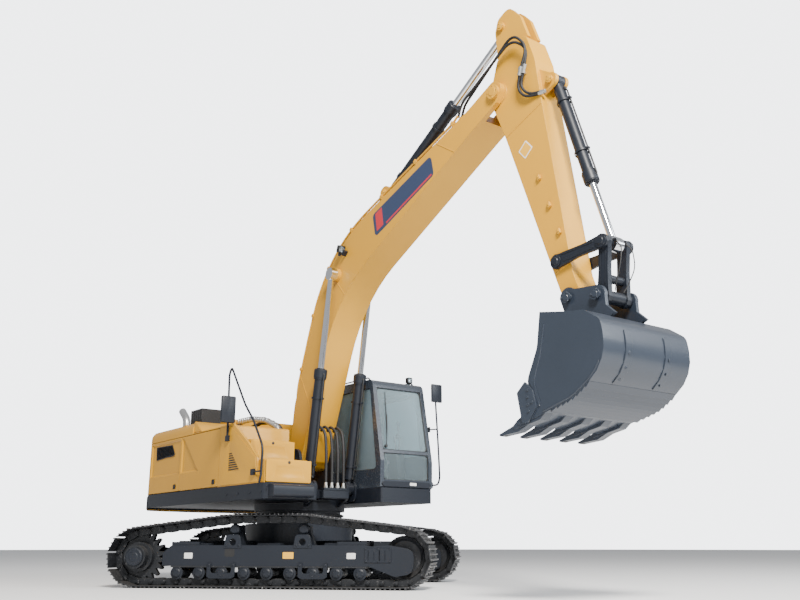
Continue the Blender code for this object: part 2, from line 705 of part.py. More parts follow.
def build_body():
    """The engine bay's fixed covers: roof with its hatch opening, pillars and front bulkhead."""
    rear = TAIL_SEAM + 2 * GAP
    outer, inner = shell_section(0.0), shell_section(PANEL)
    roof = plate([outer + inner[::-1]], rear, BODY_FRONT, "YZ")
    hatch = box(HOOD_REAR, HOOD_FRONT, -HOOD_HALF, HOOD_HALF, BODY_TOP - 0.2, BODY_TOP + 0.1)
    half = HOUSE_HALF_WIDTH
    bulkhead = box(BODY_FRONT - PANEL, BODY_FRONT, -half + 0.06, half - 0.06, DECK_TOP + GAP,
                   BODY_TOP - 0.02)
    tail = box(rear, rear + PANEL, -half + 0.06, half - 0.06, DECK_TOP + GAP, BODY_TOP - 0.02)
    behind = half - PANEL - 0.006
    posts = [
        box(RIGHT_SPLIT - 0.03, RIGHT_SPLIT + 0.03, -behind, -half + 0.10, DECK_TOP + GAP,
            BODY_TOP - 0.015),
        box(BODY_FRONT - 0.05, BODY_FRONT, -behind, -half + 0.10, DECK_TOP + GAP, BODY_TOP - 0.015),
        box(rear, rear + 0.05, -half, -half + 0.07, DECK_TOP + GAP, DOOR_TOP + 0.01),
        box(rear, rear + 0.05, half - 0.07, half, DECK_TOP + GAP, DOOR_TOP + 0.01),
        box(BODY_FRONT - 0.05, BODY_FRONT, half - 0.07, half, DECK_TOP + GAP, DOOR_TOP + 0.01),
    ]
    piece("body_covers", roof, slew, "yellow", add=[bulkhead, tail, *posts], cut=[hatch])


def hinge_place(edge, face, into):
    """Where a door's hinge axis stands in plan, beside its hinged edge and just off its outer face.

    `edge` is the door's hinged edge, `face` the signed outer face, `into` +1 or -1 towards the door.
    """
    outward = 1 if face > 0 else -1
    return edge - into * HINGE_SETBACK, face + outward * (HINGE_RADIUS + PIN_GAP)


def strap_hinge(edge, face, into, heights):
    """Knuckles that turn on the post beside a door's edge, with straps onto the door's face."""
    outward = 1 if face > 0 else -1
    axis_x, axis_y = hinge_place(edge, face, into)
    shapes = []
    for z in heights:
        shapes.append(bar((axis_x, axis_y, z - 0.045), (axis_x, axis_y, z + 0.045), HINGE_RADIUS, 10))
        for start, end, near in ((0.0, 0.030, PIN_GAP), (0.020, 0.10, -0.003)):
            xs = sorted((axis_x + into * start, axis_x + into * end))
            ys = sorted((face + outward * near, face + outward * 0.012))
            shapes.append(box(xs[0], xs[1], ys[0], ys[1], z - 0.038, z + 0.038))
    return shapes


def side_door(name, x0, x1, side, hinged_at_rear):
    """A flat door panel on the machine's side with its two strap hinges."""
    half = HOUSE_HALF_WIDTH
    z0, z1 = DECK_TOP + 0.012, DOOR_TOP - DOOR_SEAM
    panel = box(x0, x1, *sorted((side * half, side * (half - PANEL))), z0, z1)
    edge, into = (x0, 1) if hinged_at_rear else (x1, -1)
    axis = joint(name + "_axis", (*hinge_place(edge, side * half, into), z0), slew)
    knuckles = strap_hinge(edge, side * half, into, (z0 + 0.15, z1 - 0.15))
    piece(name, panel, axis, "yellow", add=knuckles, drawn_at_slew=True)


def build_doors():
    """Two doors on the right and one on the left, with seams between them."""
    seam = DOOR_SEAM
    side_door("right_rear_door", TAIL_SEAM + 0.058, RIGHT_SPLIT - seam / 2, -1, True)
    side_door("right_front_door", RIGHT_SPLIT + seam / 2, TANK_REAR - seam, -1, False)
    side_door("left_door", TAIL_SEAM + 0.058, BODY_FRONT - 0.058, 1, True)


def build_hood():
    """The engine hood: a raised lid that covers the hatch in the roof, hinged at its rear edge."""
    base = BODY_TOP + GAP
    x0, x1 = HOOD_REAR - HOOD_LAP, HOOD_FRONT + HOOD_LAP
    half = HOOD_HALF + HOOD_LAP
    lid = box(x0, x1, -half, half, base, base + HOOD_HEIGHT, 0.012)
    hollow = box(x0 + PANEL, x1 - PANEL, -half + PANEL, half - PANEL, base - 0.1,
                 base + HOOD_HEIGHT - PANEL)
    axis = joint("engine_hood_axis", (x0, 0.0, base + 0.010), slew)
    piece("engine_hood", lid, axis, "yellow", cut=[hollow], drawn_at_slew=True)


def build_engine():
    """The engine as one plain block at its real place and size."""
    block = box(-2.25, -1.55, -0.55, 0.65, DECK_TOP + GAP, 2.15)
    piece("engine_block", block, slew, "graphite")


def build_tanks():
    """Right front: tanks with a sloped front, carrying the stepped side cover."""
    half = HOUSE_HALF_WIDTH
    tank = plate([rounded([
        (BODY_FRONT + GAP, DECK_TOP + GAP, 0), (TANK_FRONT, DECK_TOP + GAP, 0),
        (TANK_FRONT, TANK_TOP - 0.02, 0.03),
        (TANK_FRONT - 0.06, TANK_TOP, 0.03), (BODY_FRONT + GAP, TANK_TOP, 0)], 2)],
        -half + PANEL + 0.03, -BOOM_SLOT - 0.013)
    cover = plate([rounded([
        (TANK_REAR, DECK_TOP + GAP, 0), (HOUSE_FRONT - 0.18, DECK_TOP + GAP, 0.02), (1.21, 1.70, 0.03),
        (0.93, 1.92, 0.08), (TANK_FRONT + 0.02, TANK_TOP + 0.01, 0.08), (TANK_REAR, TANK_TOP, 0)], 3)],
        -half, -half + PANEL)
    tie = box(TANK_REAR + 0.04, TANK_FRONT - 0.02, -half + PANEL - 0.005, -half + PANEL + 0.04, 1.45, 2.10)
    rear = box(BODY_FRONT + GAP, TANK_REAR, -half + PANEL - 0.002, -half + PANEL + 0.04,
               DOOR_TOP + 0.002, TANK_TOP - 0.002)
    lip = box(BODY_FRONT + GAP, TANK_REAR + 0.02, -half + 0.002, -half + PANEL + 0.03, DOOR_TOP + 0.004,
              TANK_TOP - 0.002)
    piece("tanks", tank, slew, "yellow", add=[tie, cover, rear, lip])


def build_toolbox():
    """Two stepped toolboxes with front flaps, hinged along their top edges."""
    y0, y1 = -HOUSE_HALF_WIDTH + PANEL + GAP, -0.66
    wall = 0.03
    body = box(TANK_FRONT + GAP, TOOLBOX_LOWER_FRONT, y0, y1, DECK_TOP + GAP, TOOLBOX_LOWER_TOP)
    upper = box(TANK_FRONT + GAP, TOOLBOX_UPPER_FRONT, y0, y1, TOOLBOX_LOWER_TOP - 0.01, TOOLBOX_UPPER_TOP)
    hollow = box(0.62, TOOLBOX_LOWER_FRONT + 0.1, y0 + wall, y1 - wall, DECK_TOP + wall,
                 TOOLBOX_LOWER_TOP - wall)
    bay = box(TANK_FRONT + wall, TOOLBOX_UPPER_FRONT + 0.1, y0 + wall, y1 - wall, TOOLBOX_LOWER_TOP + 0.02,
              TOOLBOX_UPPER_TOP - wall)
    piece("toolbox", body, slew, "yellow", add=[upper], cut=[hollow, bay])
    gap = 0.006
    for name, front, low, high in (
        ("toolbox_flap_lower", TOOLBOX_LOWER_FRONT, DECK_TOP + 0.012, TOOLBOX_LOWER_TOP),
        ("toolbox_flap_upper", TOOLBOX_UPPER_FRONT, TOOLBOX_LOWER_TOP + 0.008, TOOLBOX_UPPER_TOP),
    ):
        flap = box(front + gap, front + gap + 0.025, y0 + 0.004, y1 - 0.004, low, high - 0.004, 0.006)
        pin = (front + FLAP_HINGE + PIN_GAP, high - 0.004)
        hinge = cross_bar(pin, y0 + 0.05, y1 - 0.05, FLAP_HINGE, 16)
        axis = joint(name + "_axis", (pin[0], (y0 + y1) / 2, pin[1]), slew)
        latch = box(front + gap + 0.02, front + gap + 0.04, (y0 + y1) / 2 - 0.05, (y0 + y1) / 2 + 0.05,
                    low + 0.025, low + 0.075)
        piece(name, flap, axis, "yellow", add=[hinge, latch], solver="MANIFOLD", drawn_at_slew=True)


def build_handrail():
    """The tall loop of tube beside the steps, with the right mirror on it."""
    y = -HOUSE_HALF_WIDTH + 0.0005
    tube = pipe([
        (1.34, y - 0.02, 1.36 + GAP), (1.40, y - 0.03, 1.44), (1.42, y - 0.03, 1.82),
        (1.12, y - 0.03, 2.20),
        (0.84, y - 0.02, 2.44), (0.38, y - 0.03, 3.04), (0.31, y - 0.03, 2.95), (0.34, y - 0.03, 2.20),
        (0.34, y - 0.03, 2.02)], 0.017, 6, 0.09)
    feet = [box(0.30, 0.38, y - 0.045, y - 0.0008, 1.98, 2.06),
            box(1.12, 1.20, y - 0.045, y - 0.0008, 1.46, 1.54)]
    brace = pipe([(1.41, y - 0.03, 1.50), (1.30, y - 0.03, 1.50), (1.16, y - 0.03, 1.50)], 0.012, 6)
    mirror = box(0.46, 0.52, y - 0.22, y + 0.0, 2.22, 2.60, 0.02)
    arm = pipe([(0.34, y - 0.03, 2.52), (0.49, y - 0.06, 2.52)], 0.012, 6)
    piece("handrail_right", tube, slew, "graphite", add=[*feet, brace, arm, mirror])


def build_cab():
    """The cab: a hollow shell with windows cut in every side and a doorway on the left."""
    top, floor = CAB_ROOF, DECK_TOP + GAP
    rake = CAB_RAKE
    side = [
        (CAB_REAR, floor, 0.0), (CAB_FRONT, floor, 0.03), (CAB_FRONT + 0.01, 1.75, 0.3),
        (CAB_FRONT - rake, top - 0.02, 0.10), (CAB_REAR + 0.04, top, 0.10)]
    body = plate([rounded(side, 5)], CAB_RIGHT, CAB_LEFT)
    wall = CAB_WALL
    inside = plate([rounded([
        (CAB_REAR + wall, floor + wall, 0.02), (CAB_FRONT - wall, floor + wall, 0.02),
        (CAB_FRONT - wall + 0.01, 1.75, 0.3),
        (CAB_FRONT - rake - wall, top - 0.02 - wall, 0.08), (CAB_REAR + 0.04 + wall, top - wall, 0.08)],
        5)],
        CAB_RIGHT + wall, CAB_LEFT - wall)
    windscreen = box(CAB_FRONT - 0.45, CAB_FRONT + 0.2, CAB_RIGHT + 0.065, CAB_LEFT - 0.065,
                     SPLIT_HEIGHT + 0.022, top - 0.14)
    lower = box(CAB_FRONT - 0.3, CAB_FRONT + 0.2, CAB_RIGHT + 0.065, CAB_LEFT - 0.065, 1.47,
                SPLIT_HEIGHT - 0.022)
    rear = box(CAB_REAR - 0.1, CAB_REAR + 0.2, CAB_RIGHT + 0.10, CAB_LEFT - 0.10, 2.05, top - 0.14)
    right = plate([right_window(0.0)], CAB_RIGHT - 0.05, CAB_RIGHT + wall + 0.05)
    door = plate([doorway(0.0)], CAB_LEFT - wall - 0.05, CAB_LEFT + 0.05)
    piece("cab", body, slew, "graphite", cut=[inside, windscreen, lower, rear, right, door])


def right_window(shrink):
    """The big window on the boom side."""
    s = shrink
    return rounded([
        (CAB_REAR + 0.10 + s, 1.62 + s, 0.06), (CAB_FRONT - 0.10 - s, 1.62 + s, 0.06),
        (CAB_FRONT - 0.27 - s, CAB_ROOF - 0.15 - s, 0.06),
        (CAB_REAR + 0.13 + s, CAB_ROOF - 0.15 - s, 0.06)], 3)


def doorway(shrink):
    """The door's outline on the left side."""
    s = shrink
    return rounded([
        (DOOR_REAR + s, DECK_TOP + 0.07 + s, 0.05), (DOOR_FRONT - s, DECK_TOP + 0.07 + s, 0.05),
        (DOOR_FRONT + 0.01 - s, 1.90, 0.3), (DOOR_FRONT - 0.13 - s, CAB_ROOF - 0.11 - s, 0.07),
        (DOOR_REAR + s, CAB_ROOF - 0.11 - s, 0.07)], 3)


cab_door_edge = DOOR_REAR + CAB_DOOR_SEAM
cab_door_joint = joint("cab_door_axis", (*hinge_place(cab_door_edge, CAB_LEFT, 1), DECK_TOP), slew)


def build_cab_door():
    """The cab door, hung on its rear edge, with its window cut."""
    gap = CAB_DOOR_SEAM
    window = rounded([
        (DOOR_REAR + 0.09, 1.86, 0.05), (DOOR_FRONT - 0.075, 1.86, 0.05),
        (DOOR_FRONT - 0.19, CAB_ROOF - 0.19, 0.06), (DOOR_REAR + 0.09, CAB_ROOF - 0.19, 0.06)], 3)
    leaf = plate([doorway(gap), window], CAB_LEFT - 0.040, CAB_LEFT)
    knuckles = strap_hinge(cab_door_edge, CAB_LEFT, 1, (1.60, 2.15, 2.68))
    handle = box(DOOR_FRONT - 0.16, DOOR_FRONT - 0.04, CAB_LEFT - 0.002, CAB_LEFT + 0.022, 1.72, 1.77)
    piece("cab_door", leaf, cab_door_joint, "graphite", add=[*knuckles, handle], drawn_at_slew=True)


def build_glass():
    """Panes that sit against the inner faces of their openings."""
    wall = CAB_WALL
    y0, y1 = CAB_RIGHT + 0.065 + GAP, CAB_LEFT - 0.065 - GAP

    def front_x(z):
        """The windscreen frame's outer face at a height."""
        if z < 1.75:
            return CAB_FRONT
        share = (z - 1.75) / (CAB_ROOF - 0.02 - 1.75)
        return CAB_FRONT + 0.01 - share * (CAB_RAKE + 0.01)

    low, high = SPLIT_HEIGHT + 0.022 + GAP, CAB_ROOF - 0.14 - GAP
    upper = plate([[
        (front_x(low) - 0.030, low), (front_x(low) - 0.030 + GLASS, low),
        (front_x(high) - 0.030 + GLASS, high), (front_x(high) - 0.030, high)]], y0, y1)
    piece("windscreen", upper, slew, "glass")
    pane = box(CAB_FRONT - 0.030, CAB_FRONT - 0.030 + GLASS, y0, y1, 1.47 + GAP, SPLIT_HEIGHT - 0.022 - GAP)
    piece("lower_windscreen", pane, slew, "glass")
    pane = plate([right_window(GAP)], CAB_RIGHT + 0.014, CAB_RIGHT + 0.014 + GLASS)
    piece("right_window", pane, slew, "glass")
    pane = box(CAB_REAR + 0.016 + 0.03, CAB_REAR + 0.022 + 0.03, CAB_RIGHT + 0.10 + GAP,
               CAB_LEFT - 0.10 - GAP, 2.05 + GAP,
               CAB_ROOF - 0.14 - GAP)
    piece("rear_window", pane, slew, "glass")
    pane = plate([rounded([
        (DOOR_REAR + 0.09 + GAP, 1.86 + GAP, 0.05), (DOOR_FRONT - 0.075 - GAP, 1.86 + GAP, 0.05),
        (DOOR_FRONT - 0.19 - GAP, CAB_ROOF - 0.19 - GAP, 0.06),
        (DOOR_REAR + 0.09 + GAP, CAB_ROOF - 0.19 - GAP, 0.06)], 3)],
        CAB_LEFT - 0.026, CAB_LEFT - 0.026 + GLASS)
    piece("door_window", pane, cab_door_joint, "glass", drawn_at_slew=True)


def build_cab_inside():
    """The operator's seat and the two side consoles with their levers."""
    floor = DECK_TOP + GAP + CAB_WALL
    middle = (CAB_RIGHT + CAB_LEFT) / 2
    base = box(0.20, 0.70, middle - 0.20, middle + 0.20, floor + GAP, floor + 0.30)
    cushion = box(0.16, 0.74, middle - 0.26, middle + 0.26, floor + 0.29, floor + 0.44, 0.04)
    back = plate([rounded([
        (0.17, floor + 0.38, 0.04), (0.30, floor + 0.40, 0.04), (0.16, floor + 1.02, 0.05),
        (0.04, floor + 1.00, 0.05)], 3)],
        middle - 0.25, middle + 0.25)
    piece("operator_seat", base, slew, "seat", add=[cushion, back])
    for s, label in ((-1, "right"), (1, "left")):
        y = middle + s * 0.345
        console = box(0.22, 0.88, y - 0.065, y + 0.065, floor + GAP, floor + 0.56, 0.02)
        lever = pipe([(0.80, y, floor + 0.55), (0.83, y, floor + 0.74), (0.83, y, floor + 0.78)], 0.016, 8)
        piece("console_" + label, console, slew, "black", add=[lever])


def build_cab_rail():
    """The left grab rail at the cab's front corner with its mirror."""
    y = CAB_LEFT
    rail = pipe([
        (CAB_FRONT - 0.03, y + 0.017, 1.42), (CAB_FRONT + 0.05, y + 0.07, 1.42),
        (CAB_FRONT + 0.08, y + 0.085, 1.52),
        (CAB_FRONT + 0.07, y + 0.07, 2.00), (CAB_FRONT + 0.03, y + 0.06, 2.66),
        (CAB_FRONT + 0.03, y + 0.06, 2.82)],
        0.014, 6, 0.06)
    mount = box(CAB_FRONT - 0.07, CAB_FRONT + 0.0, y + GAP, y + 0.02, 1.38, 1.46)
    upper = pipe([(CAB_FRONT + 0.055, y + 0.066, 2.25), (CAB_FRONT - 0.06, y + 0.012, 2.25)], 0.011, 6)
    foot = box(CAB_FRONT - 0.10, CAB_FRONT - 0.05, y + GAP, y + 0.018, 2.21, 2.29)
    mirror = box(CAB_FRONT + 0.01, CAB_FRONT + 0.05, y - 0.02, y + 0.18, 2.66, 2.94, 0.015)
    piece("cab_rail", rail, slew, "graphite", add=[mount, upper, foot, mirror])


def build_exhaust():
    """The bent exhaust pipe on the roof and the ribbed air intake beside it."""
    roof = BODY_TOP + GAP
    stack = pipe([(-2.15, -0.98, roof), (-2.15, -0.98, roof + 0.20), (-2.36, -0.98, roof + 0.36)],
                 0.062, 12, 0.14)
    flange = plate([disc((-2.15, -0.98), 0.10, 16)], roof, roof + 0.02, "XY")
    piece("exhaust", stack, slew, "steel", add=[flange])
    base = box(-1.62, -1.18, -1.14, -0.82, roof, roof + 0.10)
    ribs = [box(-1.60 + 0.075 * i, -1.56 + 0.075 * i, -1.15, -0.81, roof + 0.08,
                roof + 0.26) for i in range(6)]
    dome = box(-1.61, -1.19, -1.13, -0.83, roof + 0.09, roof + 0.24, 0.04)
    piece("air_intake", base, slew, "black", add=[dome, together(ribs)])


# ---------------------------------------------------------------- boom and its cylinders
def tangent_outline(stops, steps=5):
    """An outline through round bosses: each stop is (x, z, radius, start, end) or a plain point."""
    outline = []
    for stop in stops:
        if len(stop) == 2:
            outline.append(stop)
        else:
            x, z, radius, start, end = stop
            outline += arc((x, z), radius, start, end, steps)
    return outline


def build_boom():
    """The bent box boom: foot hub, side bosses for its cylinders and the forked tip."""
    half = BOOM_WIDTH / 2
    length = BOOM_LENGTH
    bend = [
        (0.12, -0.13, 0.05), (2.36, 0.985, 2.2), (length - 0.60, 0.045, 0.3), (length - 0.08, -0.125, 0.05),
        (length + 0.14, -0.06, 0.10), (length + 0.11, 0.13, 0.10), (length - 0.40, 0.31, 0.30),
        (2.62, 1.74, 2.2), (0.52, 0.66, 0.6), (-0.16, 0.10, 0.12), (-0.14, -0.12, 0.12)]
    body = plate([rounded(bend, 7)], -half, half)
    slot = box(length - FORK_SLOT, length + 0.4, -ARM_WIDTH / 2 - 0.0105, ARM_WIDTH / 2 + 0.0105, -0.6, 0.6)
    reach = CYLINDER_SPACING / 2 - 0.05 - PIN_GAP
    bosses = [cross_bar(BOOM_CYLINDER_PIN, s * (half - 0.01), s * reach, 0.10) for s in (-1, 1)]
    foot = cross_bar((0.0, 0.0), -half - 0.0095, half + 0.0095, 0.13, 20)
    x, z = ARM_CYLINDER_FOOT
    lugs = []
    for s in (-1, 1):
        a, b = s * (LUG_SLOT + PIN_GAP), s * 0.115
        lugs.append(plate([tangent_outline([
            (x + 0.103, z - 0.32), (x, z, 0.105, 0, 150), (x - 0.40, z - 0.14), (x - 0.44, z - 0.24)],
            7)], min(a, b), max(a, b)))
    pins = [cross_bar(ARM_CYLINDER_FOOT, s * (LUG_SLOT + 0.004), s * 0.145, 0.05, 12) for s in (-1, 1)]
    caps = [cross_bar((length, 0.0), s * (half - 0.005), s * (half + 0.035), 0.085, 20) for s in (-1, 1)]
    piece("boom", body, boom_joint, "yellow",
          add=[together(bosses), foot, together(lugs), together(pins), together(caps)], cut=[slot])


def build_cylinder(prefix, label, length, axis, y, size):
    """A hydraulic cylinder along +X from its foot pin: barrel with foot eye, rod with head eye.

    The head eye carries its own pin, so it may drift a little in its fork as the machine moves.
    """
    neck = size["eye_half"] - 0.004
    start = size["eye_radius"] + 0.045
    end = size["barrel"]
    tube = bar((start, y, 0.0), (end - 0.13, y, 0.0), size["tube"], 16)
    head = bar((end - 0.15, y, 0.0), (end, y, 0.0), size["gland"], 16)
    foot = cross_bar((0.0, 0.0), y - size["eye_half"], y + size["eye_half"], size["eye_radius"], 16)
    stem = bar((0.0, y, 0.0), (start + 0.008, y, 0.0), neck, 16)
    bore = bar((start + 0.030, y, 0.0), (end + 0.1, y, 0.0), size["rod"] + PIN_GAP, 16)
    piece(prefix + "_barrel" + label, tube, axis, "graphite", add=[head, foot, stem], cut=[bore],
          solver="MANIFOLD")
    rod_axis = joint(prefix + "_rod_axis" + label, (0.0, 0.0, 0.0), axis)
    shaft = bar((size["rod_start"], y, 0.0), (length - size["eye_radius"] + 0.02, y, 0.0), size["rod"], 16)
    eye = cross_bar((length, 0.0), y - size["eye_half"], y + size["eye_half"], size["eye_radius"], 16)
    piece(prefix + "_rod" + label, shaft, rod_axis, "chrome", add=[eye])


# rod_start is where the rod's inner end stands at rest; it stays in the barrel over the whole stroke
BOOM_CYLINDER = {
    "tube": 0.0775, "gland": 0.090, "rod": 0.045, "barrel": 1.69, "eye_half": 0.05, "eye_radius": 0.095,
    "rod_start": 1.17}
ARM_CYLINDER = {
    "tube": 0.080, "gland": 0.092, "rod": 0.050, "barrel": 1.67, "eye_half": 0.06, "eye_radius": 0.095,
    "rod_start": 1.20}
BUCKET_CYLINDER = {
    "tube": 0.068, "gland": 0.080, "rod": 0.042, "barrel": 1.48, "eye_half": 0.06, "eye_radius": 0.085,
    "rod_start": 0.70}


def cylinder_joint(name, foot, pin, parent):
    """The empty on a cylinder's foot pin, its +X along the rod, and the distance to the head pin."""
    angle, length = heading(foot, pin)
    return joint(name, (foot[0], 0.0, foot[1]), parent, (0.0, -angle, 0.0)), length


def build_boom_cylinders():
    """The pair that lifts the boom."""
    pin = turned_point(BOOM_CYLINDER_PIN, BOOM_ANGLE, BOOM_FOOT)
    axis, length = cylinder_joint("boom_cylinder_axis", CYLINDER_FOOT, pin, slew)
    for s, label in ((-1, "_right"), (1, "_left")):
        build_cylinder("boom_cylinder", label, length, axis, s * CYLINDER_SPACING / 2, BOOM_CYLINDER)


def build_arm_cylinder():
    """The cylinder on top of the boom that swings the arm."""
    pin = turned_point(ARM_CYLINDER_PIN, -arm_turn, (BOOM_LENGTH, 0.0))
    axis, length = cylinder_joint("arm_cylinder_axis", ARM_CYLINDER_FOOT, pin, boom_joint)
    build_cylinder("arm_cylinder", "", length, axis, 0.0, ARM_CYLINDER)


def build_bucket_cylinder():
    """The cylinder on the arm that curls the bucket."""
    axis, length = cylinder_joint("bucket_cylinder_axis", BUCKET_CYLINDER_FOOT, ROCKER_PIN, arm_joint)
    build_cylinder("bucket_cylinder", "", length, axis, 0.0, BUCKET_CYLINDER)


# ---------------------------------------------------------------- arm
def build_arm():
    """The tapered box arm with lugs for two cylinders, hub, rocker pivot and tip."""
    half = ARM_WIDTH / 2
    length = ARM_LENGTH
    body = plate([rounded([
        (length - 0.20, -0.135, 0.10), (length + 0.10, -0.10, 0.09), (length + 0.09, 0.10, 0.09),
        (length - 0.30, 0.10, 0.20), (0.45, 0.555, 0.40), (0.02, 0.65, 0.20), (-0.42, 0.66, 0.10),
        (-0.44, 0.14, 0.03), (-0.19, -0.06, 0.15), (0.02, -0.155, 0.12), (0.60, -0.13, 0.40)], 4)],
        -half, half)
    hub = cross_bar((0.0, 0.0), -half - 0.010, half + 0.010, 0.135, 20)
    pivot = cross_bar(ROCKER_PIVOT, -half - 0.0145, half + 0.0145, 0.085, 20)
    tip = cross_bar((length, 0.0), -EAR_INNER + PIN_GAP, EAR_INNER - PIN_GAP, 0.085, 20)
    x, z = ARM_CYLINDER_PIN
    lugs = []
    for s in (-1, 1):
        a, b = s * (LUG_SLOT + PIN_GAP), s * 0.112
        lugs.append(plate([rounded([
            (-0.40, 0.10, 0), (x - 0.02, z - 0.125, 0.10), (x - 0.15, z - 0.02, 0.08),
            (x - 0.16, z + 0.20, 0.12),
            (x + 0.12, z + 0.30, 0.12), (-0.40, 0.655, 0)], 4)], min(a, b), max(a, b)))
    x, z = BUCKET_CYLINDER_FOOT
    ears = []
    for s in (-1, 1):
        a, b = s * (LUG_SLOT + PIN_GAP), s * 0.108
        ears.append(plate([tangent_outline([
            (x + 0.088, z - 0.19), (x, z, 0.09, 0, 160), (x - 0.26, z - 0.09)], 7)], min(a, b), max(a, b)))
    pins = [cross_bar(BUCKET_CYLINDER_FOOT, s * (LUG_SLOT + 0.004), s * 0.135, 0.042, 12) for s in (-1, 1)]
    pins += [cross_bar(ARM_CYLINDER_PIN, s * (LUG_SLOT + 0.004), s * 0.140, 0.05, 12) for s in (-1, 1)]
    piece("arm", body, arm_joint, "yellow",
          add=[hub, pivot, tip, together(lugs), together(ears), together(pins)])


# ---------------------------------------------------------------- bucket linkage and bucket
ROCKER_INNER = ARM_WIDTH / 2 + 0.0145 + PIN_GAP
LINK_HALF = ROCKER_INNER - PIN_GAP


def link_outline(start, end, radius_start, radius_end, waist):
    """A flat link between two round eyes, narrower in the middle."""
    angle, length = heading(start, end)
    points = arc((0.0, 0.0), radius_start, 60, 300, 7)
    points += [(length / 2, -waist)]
    points += arc((length, 0.0), radius_end, -120, 120, 7)
    points += [(length / 2, waist)]
    return [turned_point(point, angle) for point in points]


def build_rockers():
    """Two rocker links from the arm to the cylinder's pin."""
    axis = joint("rocker_axis", (ROCKER_PIVOT[0], 0.0, ROCKER_PIVOT[1]), arm_joint)
    offset = (ROCKER_PIN[0] - ROCKER_PIVOT[0], ROCKER_PIN[1] - ROCKER_PIVOT[1])
    for s, label in ((-1, "right"), (1, "left")):
        a, b = s * ROCKER_INNER, s * (ROCKER_INNER + ROCKER_PLATE)
        link = plate([link_outline((0.0, 0.0), offset, 0.085, 0.080, 0.055)], min(a, b), max(a, b))
        piece("rocker_" + label, link, axis, "graphite")
    return axis, offset


def build_power_link(axis, offset):
    """The link from the rockers to the bucket, open in the middle for the rod's eye."""
    hinge = joint("power_link_axis", (offset[0], 0.0, offset[1]), axis)
    far = (LINK_PIN[0] - ROCKER_PIN[0], LINK_PIN[1] - ROCKER_PIN[1])
    angle, length = heading((0.0, 0.0), far)
    plates = []
    for s in (-1, 1):
        a, b = s * (LINK_HALF - 0.060), s * LINK_HALF
        plates.append(plate([link_outline((0.0, 0.0), far, 0.075, 0.085, 0.060)], min(a, b), max(a, b)))
    tube = cross_bar(turned_point((length, 0.0), angle), -EAR_INNER + PIN_GAP, EAR_INNER - PIN_GAP,
                     0.070, 20)
    middle = turned_point((length * 0.66, 0.0), angle)
    tie = cross_bar(middle, -LINK_HALF + 0.03, LINK_HALF - 0.03, 0.045, 16)
    piece("power_link", tube, hinge, "graphite", add=[together(plates), tie])


def bucket_profile(inset):
    """The bucket's side: pin end at the origin, +X towards the tooth tips, -Y the open side."""
    return rounded([
        (0.20, 0.06, 0.0), (0.10, 0.42, 0.05), (0.03, 0.62, 0.10), (0.06, 0.86, 0.12), (0.40, 1.10, 0.42),
        (0.86, 0.82, 0.5), (1.21, 0.42, 0.0), (1.13, 0.37, 0.0), (0.90, 0.17, 0.15), (0.55, 0.17, 0.3)], 4)


def build_bucket():
    """The bucket: rolled back, side plates, ears with gussets, lip and teeth."""
    half = BUCKET_WIDTH / 2
    t = BUCKET_PLATE
    body = plate([bucket_profile(0.0)], -half, half)
    inside = plate([rounded([
        (0.232, 0.065, 0.0), (0.132, 0.43, 0.05), (0.062, 0.625, 0.08), (0.088, 0.84, 0.10),
        (0.40, 1.062, 0.39),
        (0.838, 0.80, 0.47), (1.254, 0.325, 0.0), (1.254, -0.2, 0.0), (0.232, -0.2, 0.0)], 4)],
        -half + t, half - t)
    ears = []
    for s in (-1, 1):
        a, b = s * EAR_INNER, s * (EAR_INNER + EAR_PLATE)
        ears.append(plate([tangent_outline([
            (0.0, 0.0, 0.115, 160, 290), (0.24, 0.10), (0.18, 0.50), (-0.02, 0.66), (-0.06, 0.52),
            (-0.129, 0.372, 0.10, 100, 200)], 6)], min(a, b), max(a, b)))
    pins = [cross_bar(at, s * (EAR_INNER + 0.004), s * (EAR_INNER + EAR_PLATE + 0.035), 0.05, 12)
            for s in (-1, 1) for at in ((0.0, 0.0), (-0.129, 0.372))]
    side_cutters = []
    for s in (-1, 1):
        a, b = s * (half - 0.002), s * (half + 0.022)
        side_cutters.append(plate([rounded([
            (0.92, 0.16, 0), (1.06, 0.10, 0.02), (1.32, 0.30, 0.03), (1.27, 0.37, 0.02), (1.10, 0.42, 0.02),
            (0.96, 0.30, 0.03)], 2)], min(a, b), max(a, b)))
    lip = plate([[(1.10, 0.50), (1.14, 0.36), (1.33, 0.235), (1.345, 0.255), (1.20, 0.43)]],
                -half + 0.0, half - 0.0)
    teeth = []
    for i in range(TOOTH_COUNT):
        y = -half + 0.065 + i * (BUCKET_WIDTH - 0.13) / (TOOTH_COUNT - 1)
        teeth.append(plate([[(1.20, 0.44), (1.18, 0.30), (1.36, 0.185), (1.545, -0.005), (1.56, 0.005),
                             (1.42, 0.245)]],
                           y - 0.052, y + 0.052))
    piece("bucket", body, bucket_joint, "graphite",
          cut=[inside], add=[together(ears), together(pins), together(side_cutters), lip, together(teeth)],
          solver="MANIFOLD", cut_first=True)


# ---------------------------------------------------------------- assembly
for side, label in ((-1, "right"), (1, "left")):
    build_track(side, label)
    build_sprocket(side, label)
    build_idler(side, label)
    build_rollers(side, label)
    build_track_frame(side, label)
build_carbody()
build_house_frame()
build_counterweight()
build_body()
build_doors()
build_hood()
build_engine()
build_tanks()
build_toolbox()
build_handrail()
build_cab()
build_cab_door()
build_glass()
build_cab_inside()
build_cab_rail()
build_exhaust()
build_boom()
build_boom_cylinders()
build_arm_cylinder()
build_arm()
build_bucket_cylinder()
rocker_axis, rocker_offset = build_rockers()
build_power_link(rocker_axis, rocker_offset)
build_bucket()


